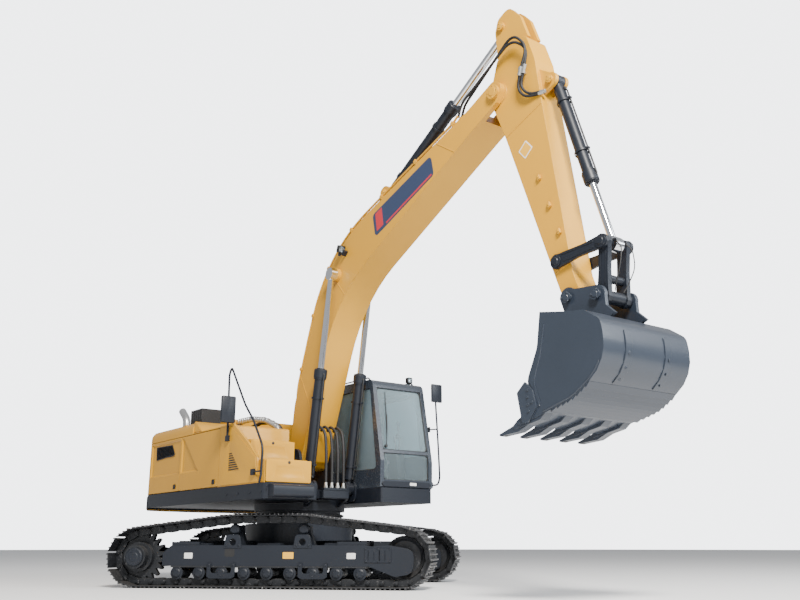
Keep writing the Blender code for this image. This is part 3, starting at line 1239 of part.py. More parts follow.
def centre_on_origin():
    """Move the whole machine so that the middle of its box's underside is the origin."""
    graph = bpy.context.evaluated_depsgraph_get()
    low, high = Vector((1e9,) * 3), Vector((-1e9,) * 3)
    for obj in parts.objects:
        shown = obj.evaluated_get(graph)
        mesh = shown.to_mesh()
        for vertex in mesh.vertices:
            co = shown.matrix_world @ vertex.co
            low = Vector(map(min, low, co))
            high = Vector(map(max, high, co))
        shown.to_mesh_clear()
    root.location = (-(low.x + high.x) / 2, -(low.y + high.y) / 2, -low.z)


centre_on_origin()
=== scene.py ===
# %% [markdown]
# # A crawler excavator, finished piece by piece
# The steel skeleton of this machine, with its joints, is already there as a fixed frame. This lesson
# dresses it: first the light and the paints, then the tracks, the house, the cab and the digging arm.
# Every piece is placed from the frame's own sizes, so that it sits where the real one would.

# %% Load the frame
import json
import math

import bmesh
import bpy
from mathutils import Matrix, Vector, geometry
from mathutils.bvhtree import BVHTree


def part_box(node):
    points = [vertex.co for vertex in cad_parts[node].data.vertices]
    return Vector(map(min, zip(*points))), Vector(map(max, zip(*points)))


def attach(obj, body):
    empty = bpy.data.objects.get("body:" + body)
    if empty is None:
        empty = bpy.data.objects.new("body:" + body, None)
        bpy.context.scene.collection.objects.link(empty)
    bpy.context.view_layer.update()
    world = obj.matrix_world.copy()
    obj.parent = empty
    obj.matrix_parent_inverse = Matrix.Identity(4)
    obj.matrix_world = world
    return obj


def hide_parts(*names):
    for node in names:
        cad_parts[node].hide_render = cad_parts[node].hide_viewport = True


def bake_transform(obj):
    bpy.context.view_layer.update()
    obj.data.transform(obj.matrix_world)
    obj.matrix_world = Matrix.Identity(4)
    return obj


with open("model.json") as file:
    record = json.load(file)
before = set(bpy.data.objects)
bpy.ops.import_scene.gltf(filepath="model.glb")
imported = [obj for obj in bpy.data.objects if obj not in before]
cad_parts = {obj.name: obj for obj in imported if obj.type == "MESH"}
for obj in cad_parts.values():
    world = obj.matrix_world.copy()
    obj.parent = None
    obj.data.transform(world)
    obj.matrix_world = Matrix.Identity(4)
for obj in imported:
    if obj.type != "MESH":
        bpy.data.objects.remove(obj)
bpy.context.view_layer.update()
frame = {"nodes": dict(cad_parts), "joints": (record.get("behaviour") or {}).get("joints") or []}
scene = bpy.context.scene

# %% [markdown]
# ## The viewpoint
# The machine is seen from low down in front of its right side, so that the boom towers over the cab.
# A camera half a metre above the ground that looks up keeps that feeling.

# %% Camera
camera_data = bpy.data.cameras.new("camera")
camera_data.lens = 39.45
camera_data.sensor_width = 36.0
camera = bpy.data.objects.new("camera", camera_data)
camera.location = (10.043, -6.945, 0.576)
camera.rotation_euler = [math.radians(angle) for angle in (105.55, 0.0, 53.26)]
scene.collection.objects.link(camera)
scene.camera = camera
print("camera height", round(camera.location.z, 3), "m")

# %% [markdown]
# ## Where things are
# Each joint of the frame gives the point that a body turns about. From these points and the angles
# of the boom, arm and bucket come four drawing boards: the undercarriage, which stands turned under
# the house, and the boom, the arm and the bucket, each with +X along the piece.

# %% Drawing boards
joints = {joint["name"]: joint for joint in frame["joints"]}


def board(place, degrees):
    """A drawing board in the machine's upright plane, its +X raised by an angle."""
    return Matrix.Translation(place) @ Matrix.Rotation(math.radians(-degrees), 4, "Y")


slew = Vector(joints["slew"]["pos_m"])
HOUSE = Matrix.Translation((slew.x, slew.y, 0.0))
TRACK_TURN = 42.7  # degrees between the tracks and the house
BOOM_RISE, ARM_RISE, BUCKET_RISE = 42.0, -70.1, -116.4  # degrees above level
UNDER = HOUSE @ Matrix.Rotation(math.radians(TRACK_TURN), 4, "Z")
BOOM = board(joints["boom_lift"]["pos_m"], BOOM_RISE)
ARM = board(joints["arm_swing"]["pos_m"], ARM_RISE)
BUCKET = board(joints["bucket_curl"]["pos_m"], BUCKET_RISE)
BOOM_LENGTH = (ARM.translation - BOOM.translation).length
ARM_LENGTH = (BUCKET.translation - ARM.translation).length
print("boom", round(BOOM_LENGTH, 2), "m, arm", round(ARM_LENGTH, 2), "m")


def cylinder_board(hinge, slide):
    """A drawing board on a cylinder's foot pin, its +X along the rod."""
    along = Vector(joints[slide]["axis"])
    return board(joints[hinge]["pos_m"], math.degrees(math.atan2(along.z, along.x)))


BOOM_CYLINDER = cylinder_board("boom_cylinder_swing", "boom_cylinder_stroke")
ARM_CYLINDER = cylinder_board("arm_cylinder_swing", "arm_cylinder_stroke")
BUCKET_CYLINDER = cylinder_board("bucket_cylinder_swing", "bucket_cylinder_stroke")
ROCKER = ARM.to_3x3().to_4x4()
ROCKER.translation = joints["rocker_swing"]["pos_m"]
LINK = ARM.to_3x3().to_4x4()
LINK.translation = joints["power_link_swing"]["pos_m"]

# %% [markdown]
# ## A workshop of shapes
# Real machines repeat the same few shapes: sawn plates, bars, turned parts, bent tubes and bolts.
# A small class keeps one mesh and adds such shapes to it, so that a whole bracket with its bolts
# becomes one piece. Every edge that a hand would touch is broken with a small bevel.


# %% The shape bench
class Shape:
    """One mesh that is filled with plates, bars, turned parts and bolts."""

    def __init__(self, at=None):
        self.mesh = bmesh.new()
        self.at = at or Matrix.Identity(4)

    def _soften(self, verts, bevel, segments=2, angle=30.0):
        """Break the sharp edges of the newest shape."""
        if not bevel:
            return
        edges = once(edge for vert in verts for edge in vert.link_edges)
        sharp = [e for e in edges if e.is_manifold and e.calc_face_angle(0.0) > math.radians(angle)]
        bmesh.ops.bevel(self.mesh, geom=sharp, offset=bevel, segments=segments, affect="EDGES",
                        clamp_overlap=True)

    def block(self, low, high, bevel=0.004, turn=None):
        """A block between two corners."""
        low, high = Vector(low), Vector(high)
        size = Matrix.Diagonal((*(high - low), 1.0))
        centre = Matrix.Translation((low + high) / 2)
        made = bmesh.ops.create_cube(self.mesh, size=1.0,
                                     matrix=(turn or Matrix.Identity(4)) @ centre @ size)
        self._soften(made["verts"], bevel)

    def bar(self, start, end, radius, end_radius=None, sides=24, bevel=0.0):
        """A round bar or cone from point to point."""
        start, end = Vector(start), Vector(end)
        run = end - start
        place = Matrix.Translation((start + end) / 2) @ run.to_track_quat("Z", "Y").to_matrix().to_4x4()
        made = bmesh.ops.create_cone(
            self.mesh, cap_ends=True, segments=sides, radius1=radius,
            radius2=radius if end_radius is None else end_radius, depth=run.length, matrix=place)
        self._soften(made["verts"], bevel, 2, 50.0)

    def plate(self, outline, start, end, plane="XZ", bevel=0.004, segments=2, holes=()):
        """A plate of any outline, with holes, between two depths."""
        loops = [[Vector((a, b, 0.0)) for a, b in loop] for loop in (outline, *holes)]
        spots = [point for loop in loops for point in loop]
        front, back = [], []
        for point in spots:
            front.append(self.mesh.verts.new(onto_plane(point.x, point.y, start, plane)))
            back.append(self.mesh.verts.new(onto_plane(point.x, point.y, end, plane)))
        for tri in geometry.tessellate_polygon(loops):
            self.mesh.faces.new([front[i] for i in tri])
            self.mesh.faces.new([back[i] for i in reversed(tri)])
        base = 0
        for loop in loops:
            count = len(loop)
            for i in range(count):
                j = (i + 1) % count
                self.mesh.faces.new((front[base + i], front[base + j], back[base + j], back[base + i]))
            base += count
        verts = front + back
        faces = once(face for vert in verts for face in vert.link_faces)
        bmesh.ops.recalc_face_normals(self.mesh, faces=faces)
        flat = [e for e in once(e for f in faces for e in f.edges) if e.calc_face_angle(0.0) < 0.001]
        bmesh.ops.dissolve_edges(self.mesh, edges=flat)
        self._soften([vert for vert in verts if vert.is_valid], bevel, segments)

    def turned(self, profile, place, axis="Y", steps=32):
        """A turned part: (radius, position) pairs spun about an axis through a place."""
        spin = {"Y": Matrix.Rotation(math.radians(-90), 4, "X"), "Z": Matrix.Identity(4),
                "X": Matrix.Rotation(math.radians(90), 4, "Y")}[axis]
        rings = []
        for radius, height in profile:
            count = 1 if radius < 1e-6 else steps
            ring = []
            for k in range(count):
                angle = 2 * math.pi * k / steps
                spot = Vector((radius * math.cos(angle), radius * math.sin(angle), height))
                ring.append(self.mesh.verts.new(Matrix.Translation(place) @ spin @ spot))
            rings.append(ring)
        faces = []
        for one, two in zip(rings, rings[1:]):
            for k in range(steps):
                j = (k + 1) % steps
                spots = [one[k % len(one)], one[j % len(one)], two[j % len(two)], two[k % len(two)]]
                faces.append(self.mesh.faces.new(list(dict.fromkeys(spots))))
        bmesh.ops.recalc_face_normals(self.mesh, faces=faces)

    def bolt(self, place, outward, size=0.012, height=None):
        """A hexagon head on a washer."""
        place, outward = Vector(place), Vector(outward).normalized()
        height = height or size * 0.75
        self.bar(place, place + outward * size * 0.18, size * 1.25, sides=14)
        self.bar(place, place + outward * height, size, size * 0.92, sides=6)

    def bolt_ring(self, centre, radius, count, outward, size, start=0.0, plane="XZ"):
        """Bolts spaced evenly round a centre."""
        for k in range(count):
            angle = math.radians(start + 360.0 / count * k)
            a, b = radius * math.cos(angle), radius * math.sin(angle)
            across = {"XZ": (a, 0.0, b), "YZ": (0.0, a, b), "XY": (a, b, 0.0)}[plane]
            self.bolt([spot + step for spot, step in zip(centre, across)], outward, size)

    def sweep(self, points, radius, sides=12, bend=0.05, steps=5):
        """A tube bent through points, with a ring of faces at each step and closed ends."""
        route = bent([Vector(point) for point in points], bend, steps)
        rings = []
        aim = (route[1] - route[0]).normalized()
        side = aim.orthogonal().normalized()
        for i, spot in enumerate(route):
            ahead = route[min(i + 1, len(route) - 1)] - route[max(i - 1, 0)]
            turn = aim.rotation_difference(ahead.normalized())
            side = (turn @ side).normalized()
            aim = ahead.normalized()
            up = aim.cross(side)
            ring = []
            for k in range(sides):
                angle = 2 * math.pi * k / sides
                offset = side * math.cos(angle) * radius + up * math.sin(angle) * radius
                ring.append(self.mesh.verts.new(spot + offset))
            rings.append(ring)
        for one, two in zip(rings, rings[1:]):
            for k in range(sides):
                j = (k + 1) % sides
                self.mesh.faces.new((one[k], one[j], two[j], two[k]))
        self.mesh.faces.new(rings[0][::-1])
        self.mesh.faces.new(rings[-1])

    def copy_mesh(self, other, place):
        """Add another shape's mesh at a place."""
        mesh = bpy.data.meshes.new("copy")
        other.mesh.to_mesh(mesh)
        mesh.transform(place)
        self.mesh.from_mesh(mesh)
        bpy.data.meshes.remove(mesh)

    def make(self, name, body, material, slot, smooth=35.0, replaces=()):
        """Finish the mesh as one named piece, which rides on a body when one is given."""
        mesh = bpy.data.meshes.new(name)
        self.mesh.to_mesh(mesh)
        self.mesh.free()
        mesh.transform(self.at)
        mesh.materials.append(material)
        mesh.shade_smooth()
        mesh.set_sharp_from_angle(angle=math.radians(smooth))
        piece = bpy.data.objects.new(name, mesh)
        scene.collection.objects.link(piece)
        if body:
            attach(piece, body)
        if replaces:
            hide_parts(*replaces)
        return piece


def once(items):
    """Each item once, in the order met, so that every run cuts and bevels in the same order."""
    return list(dict.fromkeys(items))


def onto_plane(a, b, depth, plane):
    """A point of a flat drawing, stood up in the plane that it belongs to."""
    if plane == "XZ":
        return Vector((a, depth, b))
    if plane == "YZ":
        return Vector((depth, a, b))
    return Vector((a, b, depth))


def bent(points, radius, steps=5):
    """A route whose corners are rounded, as a tube bender would."""
    if not radius or len(points) < 3:
        return points
    route = [points[0]]
    for before, corner, after in zip(points, points[1:], points[2:]):
        reach = min(radius, 0.48 * (before - corner).length, 0.48 * (after - corner).length)
        start = corner + (before - corner).normalized() * reach
        end = corner + (after - corner).normalized() * reach
        for i in range(steps + 1):
            t = i / steps
            route.append(start * (1 - t) ** 2 + corner * 2 * t * (1 - t) + end * t**2)
    route.append(points[-1])
    return route


def rounded(corners, steps=5):
    """An outline of (a, b, radius) corners, each rounded by an arc."""
    outline = []
    count = len(corners)
    for i, (a, b, radius) in enumerate(corners):
        if not radius:
            outline.append((a, b))
            continue
        corner = Vector((a, b))
        before = (Vector(corners[i - 1][:2]) - corner).normalized()
        after = (Vector(corners[(i + 1) % count][:2]) - corner).normalized()
        half = before.angle(after) / 2
        middle = corner + (before + after).normalized() * radius / math.sin(half)
        first = corner + before * radius / math.tan(half) - middle
        last = corner + after * radius / math.tan(half) - middle
        sweep = first.angle_signed(last)
        for k in range(steps + 1):
            point = middle + Matrix.Rotation(-sweep * k / steps, 2) @ first
            outline.append((point.x, point.y))
    return outline


def oblong(a0, b0, a1, b1, radius, steps=3):
    """A rectangle with rounded corners, from its low corner to its high one."""
    return rounded([(a0, b0, radius), (a1, b0, radius), (a1, b1, radius), (a0, b1, radius)], steps)


def circle(centre, radius, steps=24, start=0.0, end=360.0):
    """Points round a centre, or along a part of the circle."""
    full = abs(end - start) >= 360.0
    count = steps if full else steps + 1
    found = []
    for k in range(count):
        angle = math.radians(start + (end - start) * k / steps)
        found.append((centre[0] + radius * math.cos(angle), centre[1] + radius * math.sin(angle)))
    return found


# %% [markdown]
# ## Paint, steel, rubber and glass
# A new machine's enamel isn't one flat colour. It clouds a little, it has the fine ripple of a
# sprayed coat, road dust settles on what faces up, and rounded edges catch the light. One recipe
# with a few controls makes all the opaque finishes, so that they belong to the same machine.


# %% The finish recipe
def noise(tree, where, scale, detail):
    """A cloudy texture in the object's own coordinates."""
    made = tree.nodes.new("ShaderNodeTexNoise")
    made.inputs["Scale"].default_value = scale
    made.inputs["Detail"].default_value = detail
    tree.links.new(where.outputs["Object"], made.inputs["Vector"])
    return made


def mixed(tree, factor, one, two):
    """A colour between two others; each is a colour or the output of a node."""
    made = tree.nodes.new("ShaderNodeMix")
    made.data_type = "RGBA"
    tree.links.new(factor, made.inputs["Factor"])
    for socket, colour in (("A", one), ("B", two)):
        if isinstance(colour, tuple):
            made.inputs[socket].default_value = colour
        else:
            tree.links.new(colour, made.inputs[socket])
    return made.outputs["Result"]


def finish(name, colour, roughness, metallic=0.0, cloud=0.06, ripple=0.02, ripple_size=260.0,
           dust=0.10, edge=0.004, coat=0.0, worn=None, specular=0.5):
    """An opaque finish: clouded colour, uneven gloss, fine ripple, settled dust and soft edges."""
    made = bpy.data.materials.new(name)
    made.use_nodes = True
    nodes, links = made.node_tree.nodes, made.node_tree.links
    shader = nodes["Principled BSDF"]
    shader.inputs["Metallic"].default_value = metallic
    shader.inputs["Coat Weight"].default_value = coat
    shader.inputs["Specular IOR Level"].default_value = specular
    shader.inputs["Coat Roughness"].default_value = 0.12
    where = nodes.new("ShaderNodeTexCoord")

    clouds = noise(made.node_tree, where, 2.3, 6.0)
    dark = (*[channel * (1 - cloud) for channel in colour], 1.0)
    pale = (*[min(1.0, channel * (1 + cloud)) for channel in colour], 1.0)
    tone = mixed(made.node_tree, clouds.outputs["Fac"], dark, pale)

    facing = nodes.new("ShaderNodeNewGeometry")
    split = nodes.new("ShaderNodeSeparateXYZ")
    links.new(facing.outputs["Normal"], split.inputs["Vector"])
    specks = noise(made.node_tree, where, 38.0, 8.0)
    settled, amount = nodes.new("ShaderNodeMath"), nodes.new("ShaderNodeMath")
    settled.operation = amount.operation = "MULTIPLY"
    settled.use_clamp = True
    links.new(split.outputs["Z"], settled.inputs[0])
    links.new(specks.outputs["Fac"], settled.inputs[1])
    amount.inputs[1].default_value = dust
    links.new(settled.outputs[0], amount.inputs[0])
    colour_out = mixed(made.node_tree, amount.outputs[0], tone, (0.52, 0.47, 0.40, 1.0))

    spread = nodes.new("ShaderNodeMapRange")
    spread.inputs["To Min"].default_value = max(0.03, roughness * 0.82)
    spread.inputs["To Max"].default_value = min(1.0, roughness * 1.22)
    links.new(specks.outputs["Fac"], spread.inputs["Value"])

    if worn:
        worn_colour, worn_share = worn
        rub = noise(made.node_tree, where, 21.0, 9.0)
        rub.inputs["Roughness"].default_value = 0.7
        mask = nodes.new("ShaderNodeMapRange")
        mask.inputs["From Min"].default_value = 0.66 - 0.3 * worn_share
        mask.inputs["From Max"].default_value = 0.74 - 0.3 * worn_share
        links.new(rub.outputs["Fac"], mask.inputs["Value"])
        colour_out = mixed(made.node_tree, mask.outputs["Result"], colour_out, (*worn_colour, 1.0))
    links.new(colour_out, shader.inputs["Base Color"])
    links.new(spread.outputs["Result"], shader.inputs["Roughness"])

    grain = noise(made.node_tree, where, ripple_size, 3.0)
    bump = nodes.new("ShaderNodeBump")
    bump.inputs["Strength"].default_value = ripple
    bump.inputs["Distance"].default_value = 0.01
    links.new(grain.outputs["Fac"], bump.inputs["Height"])
    if edge:
        soft = nodes.new("ShaderNodeBevel")
        soft.samples = 4
        soft.inputs["Radius"].default_value = edge
        links.new(soft.outputs["Normal"], bump.inputs["Normal"])
    links.new(bump.outputs["Normal"], shader.inputs["Normal"])
    return made


# %% [markdown]
# ## The machine's finishes
# Yellow and blue-black enamel make the machine, with chrome rods, rubbed track steel, rubber and
# plain moulded trim. Each finish is the recipe above with its own colour, gloss and wear.

# %% Paints and metals
YELLOW = finish("yellow_enamel", (0.60, 0.300, 0.018), 0.36, cloud=0.05, ripple=0.03, coat=0.12,
                dust=0.03, specular=0.35,
                edge=0.008)
GRAPHITE = finish("blue_black_enamel", (0.010, 0.013, 0.020), 0.40, cloud=0.12, ripple=0.03, coat=0.0,
                  dust=0.05, edge=0.006, specular=0.35)
CAB_PAINT = finish("cab_enamel", (0.030, 0.038, 0.052), 0.26, cloud=0.10, ripple=0.02, coat=0.5, dust=0.06,
                   edge=0.006)
TRACK = finish("track_steel", (0.018, 0.020, 0.024), 0.45, metallic=0.3, cloud=0.2, ripple=0.10,
               ripple_size=120.0,
               dust=0.16, edge=0.003, worn=((0.11, 0.11, 0.115), 0.25))
BARS = finish("worn_shoe_steel", (0.10, 0.10, 0.105), 0.38, metallic=0.7, cloud=0.25, ripple=0.12,
              ripple_size=90.0, dust=0.12, edge=0.003, worn=((0.50, 0.50, 0.49), 0.30))
BUCKET_PAINT = finish("bucket_enamel", (0.022, 0.030, 0.045), 0.34, cloud=0.12, ripple=0.05,
                      ripple_size=90.0,
                      coat=0.15, dust=0.06, edge=0.005)
CHROME = finish("hard_chrome", (0.82, 0.84, 0.87), 0.10, metallic=1.0, cloud=0.02, ripple=0.004,
                ripple_size=500.0, dust=0.0, edge=0.0)
STEEL = finish("zinc_steel", (0.52, 0.52, 0.50), 0.38, metallic=0.9, cloud=0.10, ripple=0.04, dust=0.04,
               edge=0.002)
EXHAUST_STEEL = finish("exhaust_steel", (0.60, 0.60, 0.60), 0.30, metallic=0.9, cloud=0.16, ripple=0.03,
                       dust=0.03, edge=0.004, worn=((0.34, 0.27, 0.20), 0.2))
RUBBER = finish("hose_rubber", (0.010, 0.010, 0.011), 0.62, cloud=0.2, ripple=0.18, ripple_size=420.0,
                dust=0.10, edge=0.0)
TRIM = finish("moulded_trim", (0.013, 0.014, 0.016), 0.55, cloud=0.1, ripple=0.20, ripple_size=600.0,
              dust=0.06, edge=0.004)
FLOOR_MAT = finish("cab_mat", (0.020, 0.020, 0.021), 0.80, cloud=0.15, ripple=0.35, ripple_size=300.0,
                   dust=0.12, edge=0.003)
SIGN_YELLOW = finish("sign_yellow", (0.80, 0.42, 0.03), 0.45, cloud=0.03, ripple=0.01, dust=0.05, edge=0.0)
SIGN_WHITE = finish("sign_white", (0.78, 0.78, 0.76), 0.45, cloud=0.03, ripple=0.01, dust=0.05, edge=0.0)
NAVY = finish("navy_band", (0.020, 0.035, 0.085), 0.30, cloud=0.04, ripple=0.01, coat=0.3, dust=0.04,
              edge=0.0)
RED = finish("red_stripe", (0.50, 0.020, 0.030), 0.32, cloud=0.04, ripple=0.01, coat=0.3, dust=0.04,
             edge=0.0)
LAMP_GREY = finish("lamp_reflector", (0.75, 0.76, 0.78), 0.15, metallic=0.9, cloud=0.05, ripple=0.02,
                   ripple_size=60.0, dust=0.0, edge=0.0)
print("finishes:", len(bpy.data.materials))

# %% [markdown]
# ## Glass
# Cab glass is thin and nearly clear: from outside it shows the sky as much as the seat behind it.
# A mix of a see-through shader and a clear gloss, led by a Fresnel term, does that without the dark,
# slow look of solid glass. A faint film of dust keeps it from looking like an empty hole.


# %% Glazing and mirrors
def glazing(name, tint, haze):
    """Thin tinted glass with a little dust on it."""
    made = bpy.data.materials.new(name)
    made.use_nodes = True
    nodes, links = made.node_tree.nodes, made.node_tree.links
    nodes.remove(nodes["Principled BSDF"])
    clear = nodes.new("ShaderNodeBsdfTransparent")
    clear.inputs["Color"].default_value = (*tint, 1.0)
    gloss = nodes.new("ShaderNodeBsdfPrincipled")
    gloss.inputs["Base Color"].default_value = (0.55, 0.64, 0.68, 1.0)
    gloss.inputs["Roughness"].default_value = 0.05
    gloss.inputs["Specular IOR Level"].default_value = 0.8
    rim = nodes.new("ShaderNodeFresnel")
    rim.inputs["IOR"].default_value = 1.45
    film = noise(made.node_tree, nodes.new("ShaderNodeTexCoord"), 3.0, 8.0)
    thin = nodes.new("ShaderNodeMapRange")
    thin.inputs["To Min"].default_value = haze * 0.7
    thin.inputs["To Max"].default_value = haze * 1.3
    links.new(film.outputs["Fac"], thin.inputs["Value"])
    total = nodes.new("ShaderNodeMath")
    total.operation = "ADD"
    total.use_clamp = True
    links.new(rim.outputs["Fac"], total.inputs[0])
    links.new(thin.outputs["Result"], total.inputs[1])
    mix = nodes.new("ShaderNodeMixShader")
    links.new(total.outputs[0], mix.inputs["Fac"])
    links.new(clear.outputs["BSDF"], mix.inputs[1])
    links.new(gloss.outputs["BSDF"], mix.inputs[2])
    links.new(mix.outputs["Shader"], nodes["Material Output"].inputs["Surface"])
    return made


GLASS = glazing("cab_glass", (0.84, 0.92, 0.95), 0.06)
LENS = glazing("lamp_glass", (0.92, 0.94, 0.95), 0.08)
MIRROR = finish("mirror_glass", (0.86, 0.89, 0.92), 0.04, metallic=1.0, cloud=0.01, ripple=0.002, dust=0.0,
                edge=0.0)
print("glass ready")

# %% [markdown]
# ## The cloth of the seat
# A machine seat wears a coarse woven cloth over foam. Two crossed waves make the weave, and a soft
# sheen lifts the cloth where it turns away, which is how fabric differs from plastic.


# %% Upholstery cloth
def seat_cloth():
    """Black woven upholstery with a sheen."""
    made = bpy.data.materials.new("seat_cloth")
    made.use_nodes = True
    nodes, links = made.node_tree.nodes, made.node_tree.links
    shader = nodes["Principled BSDF"]
    shader.inputs["Roughness"].default_value = 0.9
    shader.inputs["Sheen Weight"].default_value = 0.4
    shader.inputs["Sheen Roughness"].default_value = 0.4
    where = nodes.new("ShaderNodeTexCoord")
    heights = []
    for direction in ("X", "Z"):
        thread = nodes.new("ShaderNodeTexWave")
        thread.bands_direction = direction
        thread.inputs["Scale"].default_value = 90.0
        thread.inputs["Distortion"].default_value = 1.2
        thread.inputs["Detail"].default_value = 2.0
        links.new(where.outputs["Object"], thread.inputs["Vector"])
        heights.append(thread)
    weave = nodes.new("ShaderNodeMath")
    weave.operation = "MAXIMUM"
    links.new(heights[0].outputs["Fac"], weave.inputs[0])
    links.new(heights[1].outputs["Fac"], weave.inputs[1])
    tone = mixed(made.node_tree, weave.outputs[0], (0.012, 0.012, 0.014, 1.0), (0.050, 0.050, 0.055, 1.0))
    links.new(tone, shader.inputs["Base Color"])
    bump = nodes.new("ShaderNodeBump")
    bump.inputs["Strength"].default_value = 0.35
    bump.inputs["Distance"].default_value = 0.002
    links.new(weave.outputs[0], bump.inputs["Height"])
    links.new(bump.outputs["Normal"], shader.inputs["Normal"])
    return made


CLOTH = seat_cloth()

# %% [markdown]
# ## Studio
# A pale floor and a pale world keep the eye on the machine. One lamp stands high in front of the
# machine as the main light, and a broader, softer one on its left lifts the arm and the bucket, as an
# open sky would. The world lights the machine gently but looks bright itself, like a white wall.


# %% Floor and lights
def studio_lamp(name, place, target, size, power, colour):
    """A square soft lamp that looks at a point."""
    data = bpy.data.lights.new(name, "AREA")
    data.shape = "SQUARE"
    data.size = size
    data.energy = power
    data.color = colour
    lamp = bpy.data.objects.new(name, data)
    lamp.location = place
    lamp.rotation_euler = (Vector(target) - Vector(place)).to_track_quat("-Z", "Y").to_euler()
    scene.collection.objects.link(lamp)


def studio_floor():
    """A wide pale sheet of ground."""
    mesh = bpy.data.meshes.new("floor")
    sheet = bmesh.new()
    bmesh.ops.create_circle(sheet, cap_ends=True, segments=96, radius=90.0)
    sheet.to_mesh(mesh)
    sheet.free()
    floor = bpy.data.objects.new("studio_floor", mesh)
    floor.data.materials.append(finish("pale_floor", (0.90, 0.90, 0.90), 0.9, cloud=0.01, ripple=0.0,
                                       dust=0.0,
                                       edge=0.0))
    scene.collection.objects.link(floor)


world = bpy.data.worlds.new("studio")
world.use_nodes = True
sky, ray = world.node_tree.nodes["Background"], world.node_tree.nodes.new("ShaderNodeLightPath")
sky.inputs["Color"].default_value = (0.95, 0.97, 1.0, 1.0)
level = world.node_tree.nodes.new("ShaderNodeMapRange")
level.inputs["To Min"].default_value = 0.50
level.inputs["To Max"].default_value = 4.50
world.node_tree.links.new(ray.outputs["Is Camera Ray"], level.inputs["Value"])
world.node_tree.links.new(level.outputs["Result"], sky.inputs["Strength"])
scene.world = world
studio_floor()
studio_lamp("key_lamp", (14.0, -6.5, 14.0), (0.0, 0.0, 2.5), 4.0, 8200.0, (1.0, 0.96, 0.90))
studio_lamp("sky_lamp", (15.0, 7.0, 10.0), (1.5, 0.0, 3.0), 9.0, 2400.0, (0.90, 0.95, 1.0))
print("lamps:", len(bpy.data.lights))

# %% [markdown]
# ## Finishes for the frame's own pieces
# Many pieces of the frame already have their final shape. They only need their paint, and the
# pieces that get more detail later are repainted there.

# %% Paint the frame
painted = (
    (YELLOW, """counterweight body_covers right_rear_door right_front_door left_door engine_hood tanks
        toolbox toolbox_flap_lower toolbox_flap_upper boom arm"""),
    (TRACK, """track_left track_right sprocket_left sprocket_right idler_left idler_right rollers_left
        rollers_right"""),
    (GRAPHITE, """track_frame_left track_frame_right carbody house_frame handrail_right cab_rail
        boom_cylinder_barrel_left boom_cylinder_barrel_right arm_cylinder_barrel bucket_cylinder_barrel
        rocker_left rocker_right power_link engine_block"""),
    (CAB_PAINT, "cab cab_door"),
    (BUCKET_PAINT, "bucket"),
    (CHROME, "boom_cylinder_rod_left boom_cylinder_rod_right arm_cylinder_rod bucket_cylinder_rod"),
    (GLASS, "windscreen lower_windscreen right_window rear_window door_window"),
    (TRIM, "air_intake console_left console_right"),
    (EXHAUST_STEEL, "exhaust"),
    (CLOTH, "operator_seat"),
)
for paint, names in painted:
    for node_name in names.split():
        node = frame["nodes"][node_name]
        node.data.materials.clear()
        node.data.materials.append(paint)
print("painted nodes:", sum(len(names.split()) for paint, names in painted))

# %% [markdown]
# ## Smooth curves on the frame
# The frame's round pieces are made of flats. A small node group joins their faces and shades them
# smoothly, and keeps every edge over 32 degrees crisp, as rolled plate and turned steel look.


# %% Smooth shading modifier
def smooth_group(limit=32.0):
    """A node group that welds, shades smooth and keeps sharp edges."""
    group = bpy.data.node_groups.new("smooth_curves", "GeometryNodeTree")
    group.interface.new_socket("Geometry", in_out="INPUT", socket_type="NodeSocketGeometry")
    group.interface.new_socket("Geometry", in_out="OUTPUT", socket_type="NodeSocketGeometry")
    nodes, links = group.nodes, group.links
    weld = nodes.new("GeometryNodeMergeByDistance")
    weld.inputs["Distance"].default_value = 0.00005
    smooth, sharp = nodes.new("GeometryNodeSetShadeSmooth"), nodes.new("GeometryNodeSetShadeSmooth")
    sharp.domain = "EDGE"
    sharp.inputs["Shade Smooth"].default_value = False
    angle = nodes.new("GeometryNodeInputMeshEdgeAngle")
    over = nodes.new("FunctionNodeCompare")
    over.inputs["B"].default_value = math.radians(limit)
    links.new(angle.outputs["Unsigned Angle"], over.inputs["A"])
    links.new(nodes.new("NodeGroupInput").outputs[0], weld.inputs["Geometry"])
    links.new(weld.outputs["Geometry"], smooth.inputs["Geometry"])
    links.new(smooth.outputs["Geometry"], sharp.inputs["Geometry"])
    links.new(over.outputs["Result"], sharp.inputs["Selection"])
    links.new(sharp.outputs["Geometry"], nodes.new("NodeGroupOutput").inputs[0])
    return group


smoothing = smooth_group()
for node in frame["nodes"].values():
    node.modifiers.new("smooth_curves", "NODES").node_group = smoothing


# %% [markdown]
# ## Measuring on a board
# A bracket that is bolted to a beam has to touch it, and the beams of the undercarriage stand at an
# angle. This helper measures a frame piece along the axes of any drawing board.


# %% Measure a frame piece on a board
def span(node, at):
    """The low and high corner of a frame piece, along a board's own axes."""
    back = at.inverted()
    spots = [back @ vert.co for vert in frame["nodes"][node].data.vertices]
    return (Vector([min(spot[k] for spot in spots) for k in range(3)]),
            Vector([max(spot[k] for spot in spots) for k in range(3)]))


SIDES = (("left", 1.0), ("right", -1.0))
beam_low, beam_high = span("track_frame_left", UNDER)
track_low, track_high = span("track_left", UNDER)
TRACK_CENTRE = (track_low.y + track_high.y) / 2
print("track centre", round(TRACK_CENTRE, 3), "m from the middle, beam top", round(beam_high.z, 3))

# %% [markdown]
# ## The chain's path
# The pins of a track chain lie on a belt round the sprocket, the idler and two carrier rollers. The
# hull of those four circles is the belt, and fifty equal steps along it are the pins.

# %% Lay out the pins
WHEEL_X, WHEEL_Z, PITCH_RADIUS = 1.865, 0.405, 0.325
CARRIER_X, CARRIER_Z, CARRIER_REACH = 0.49, 0.771, 0.125
SHOES = 50


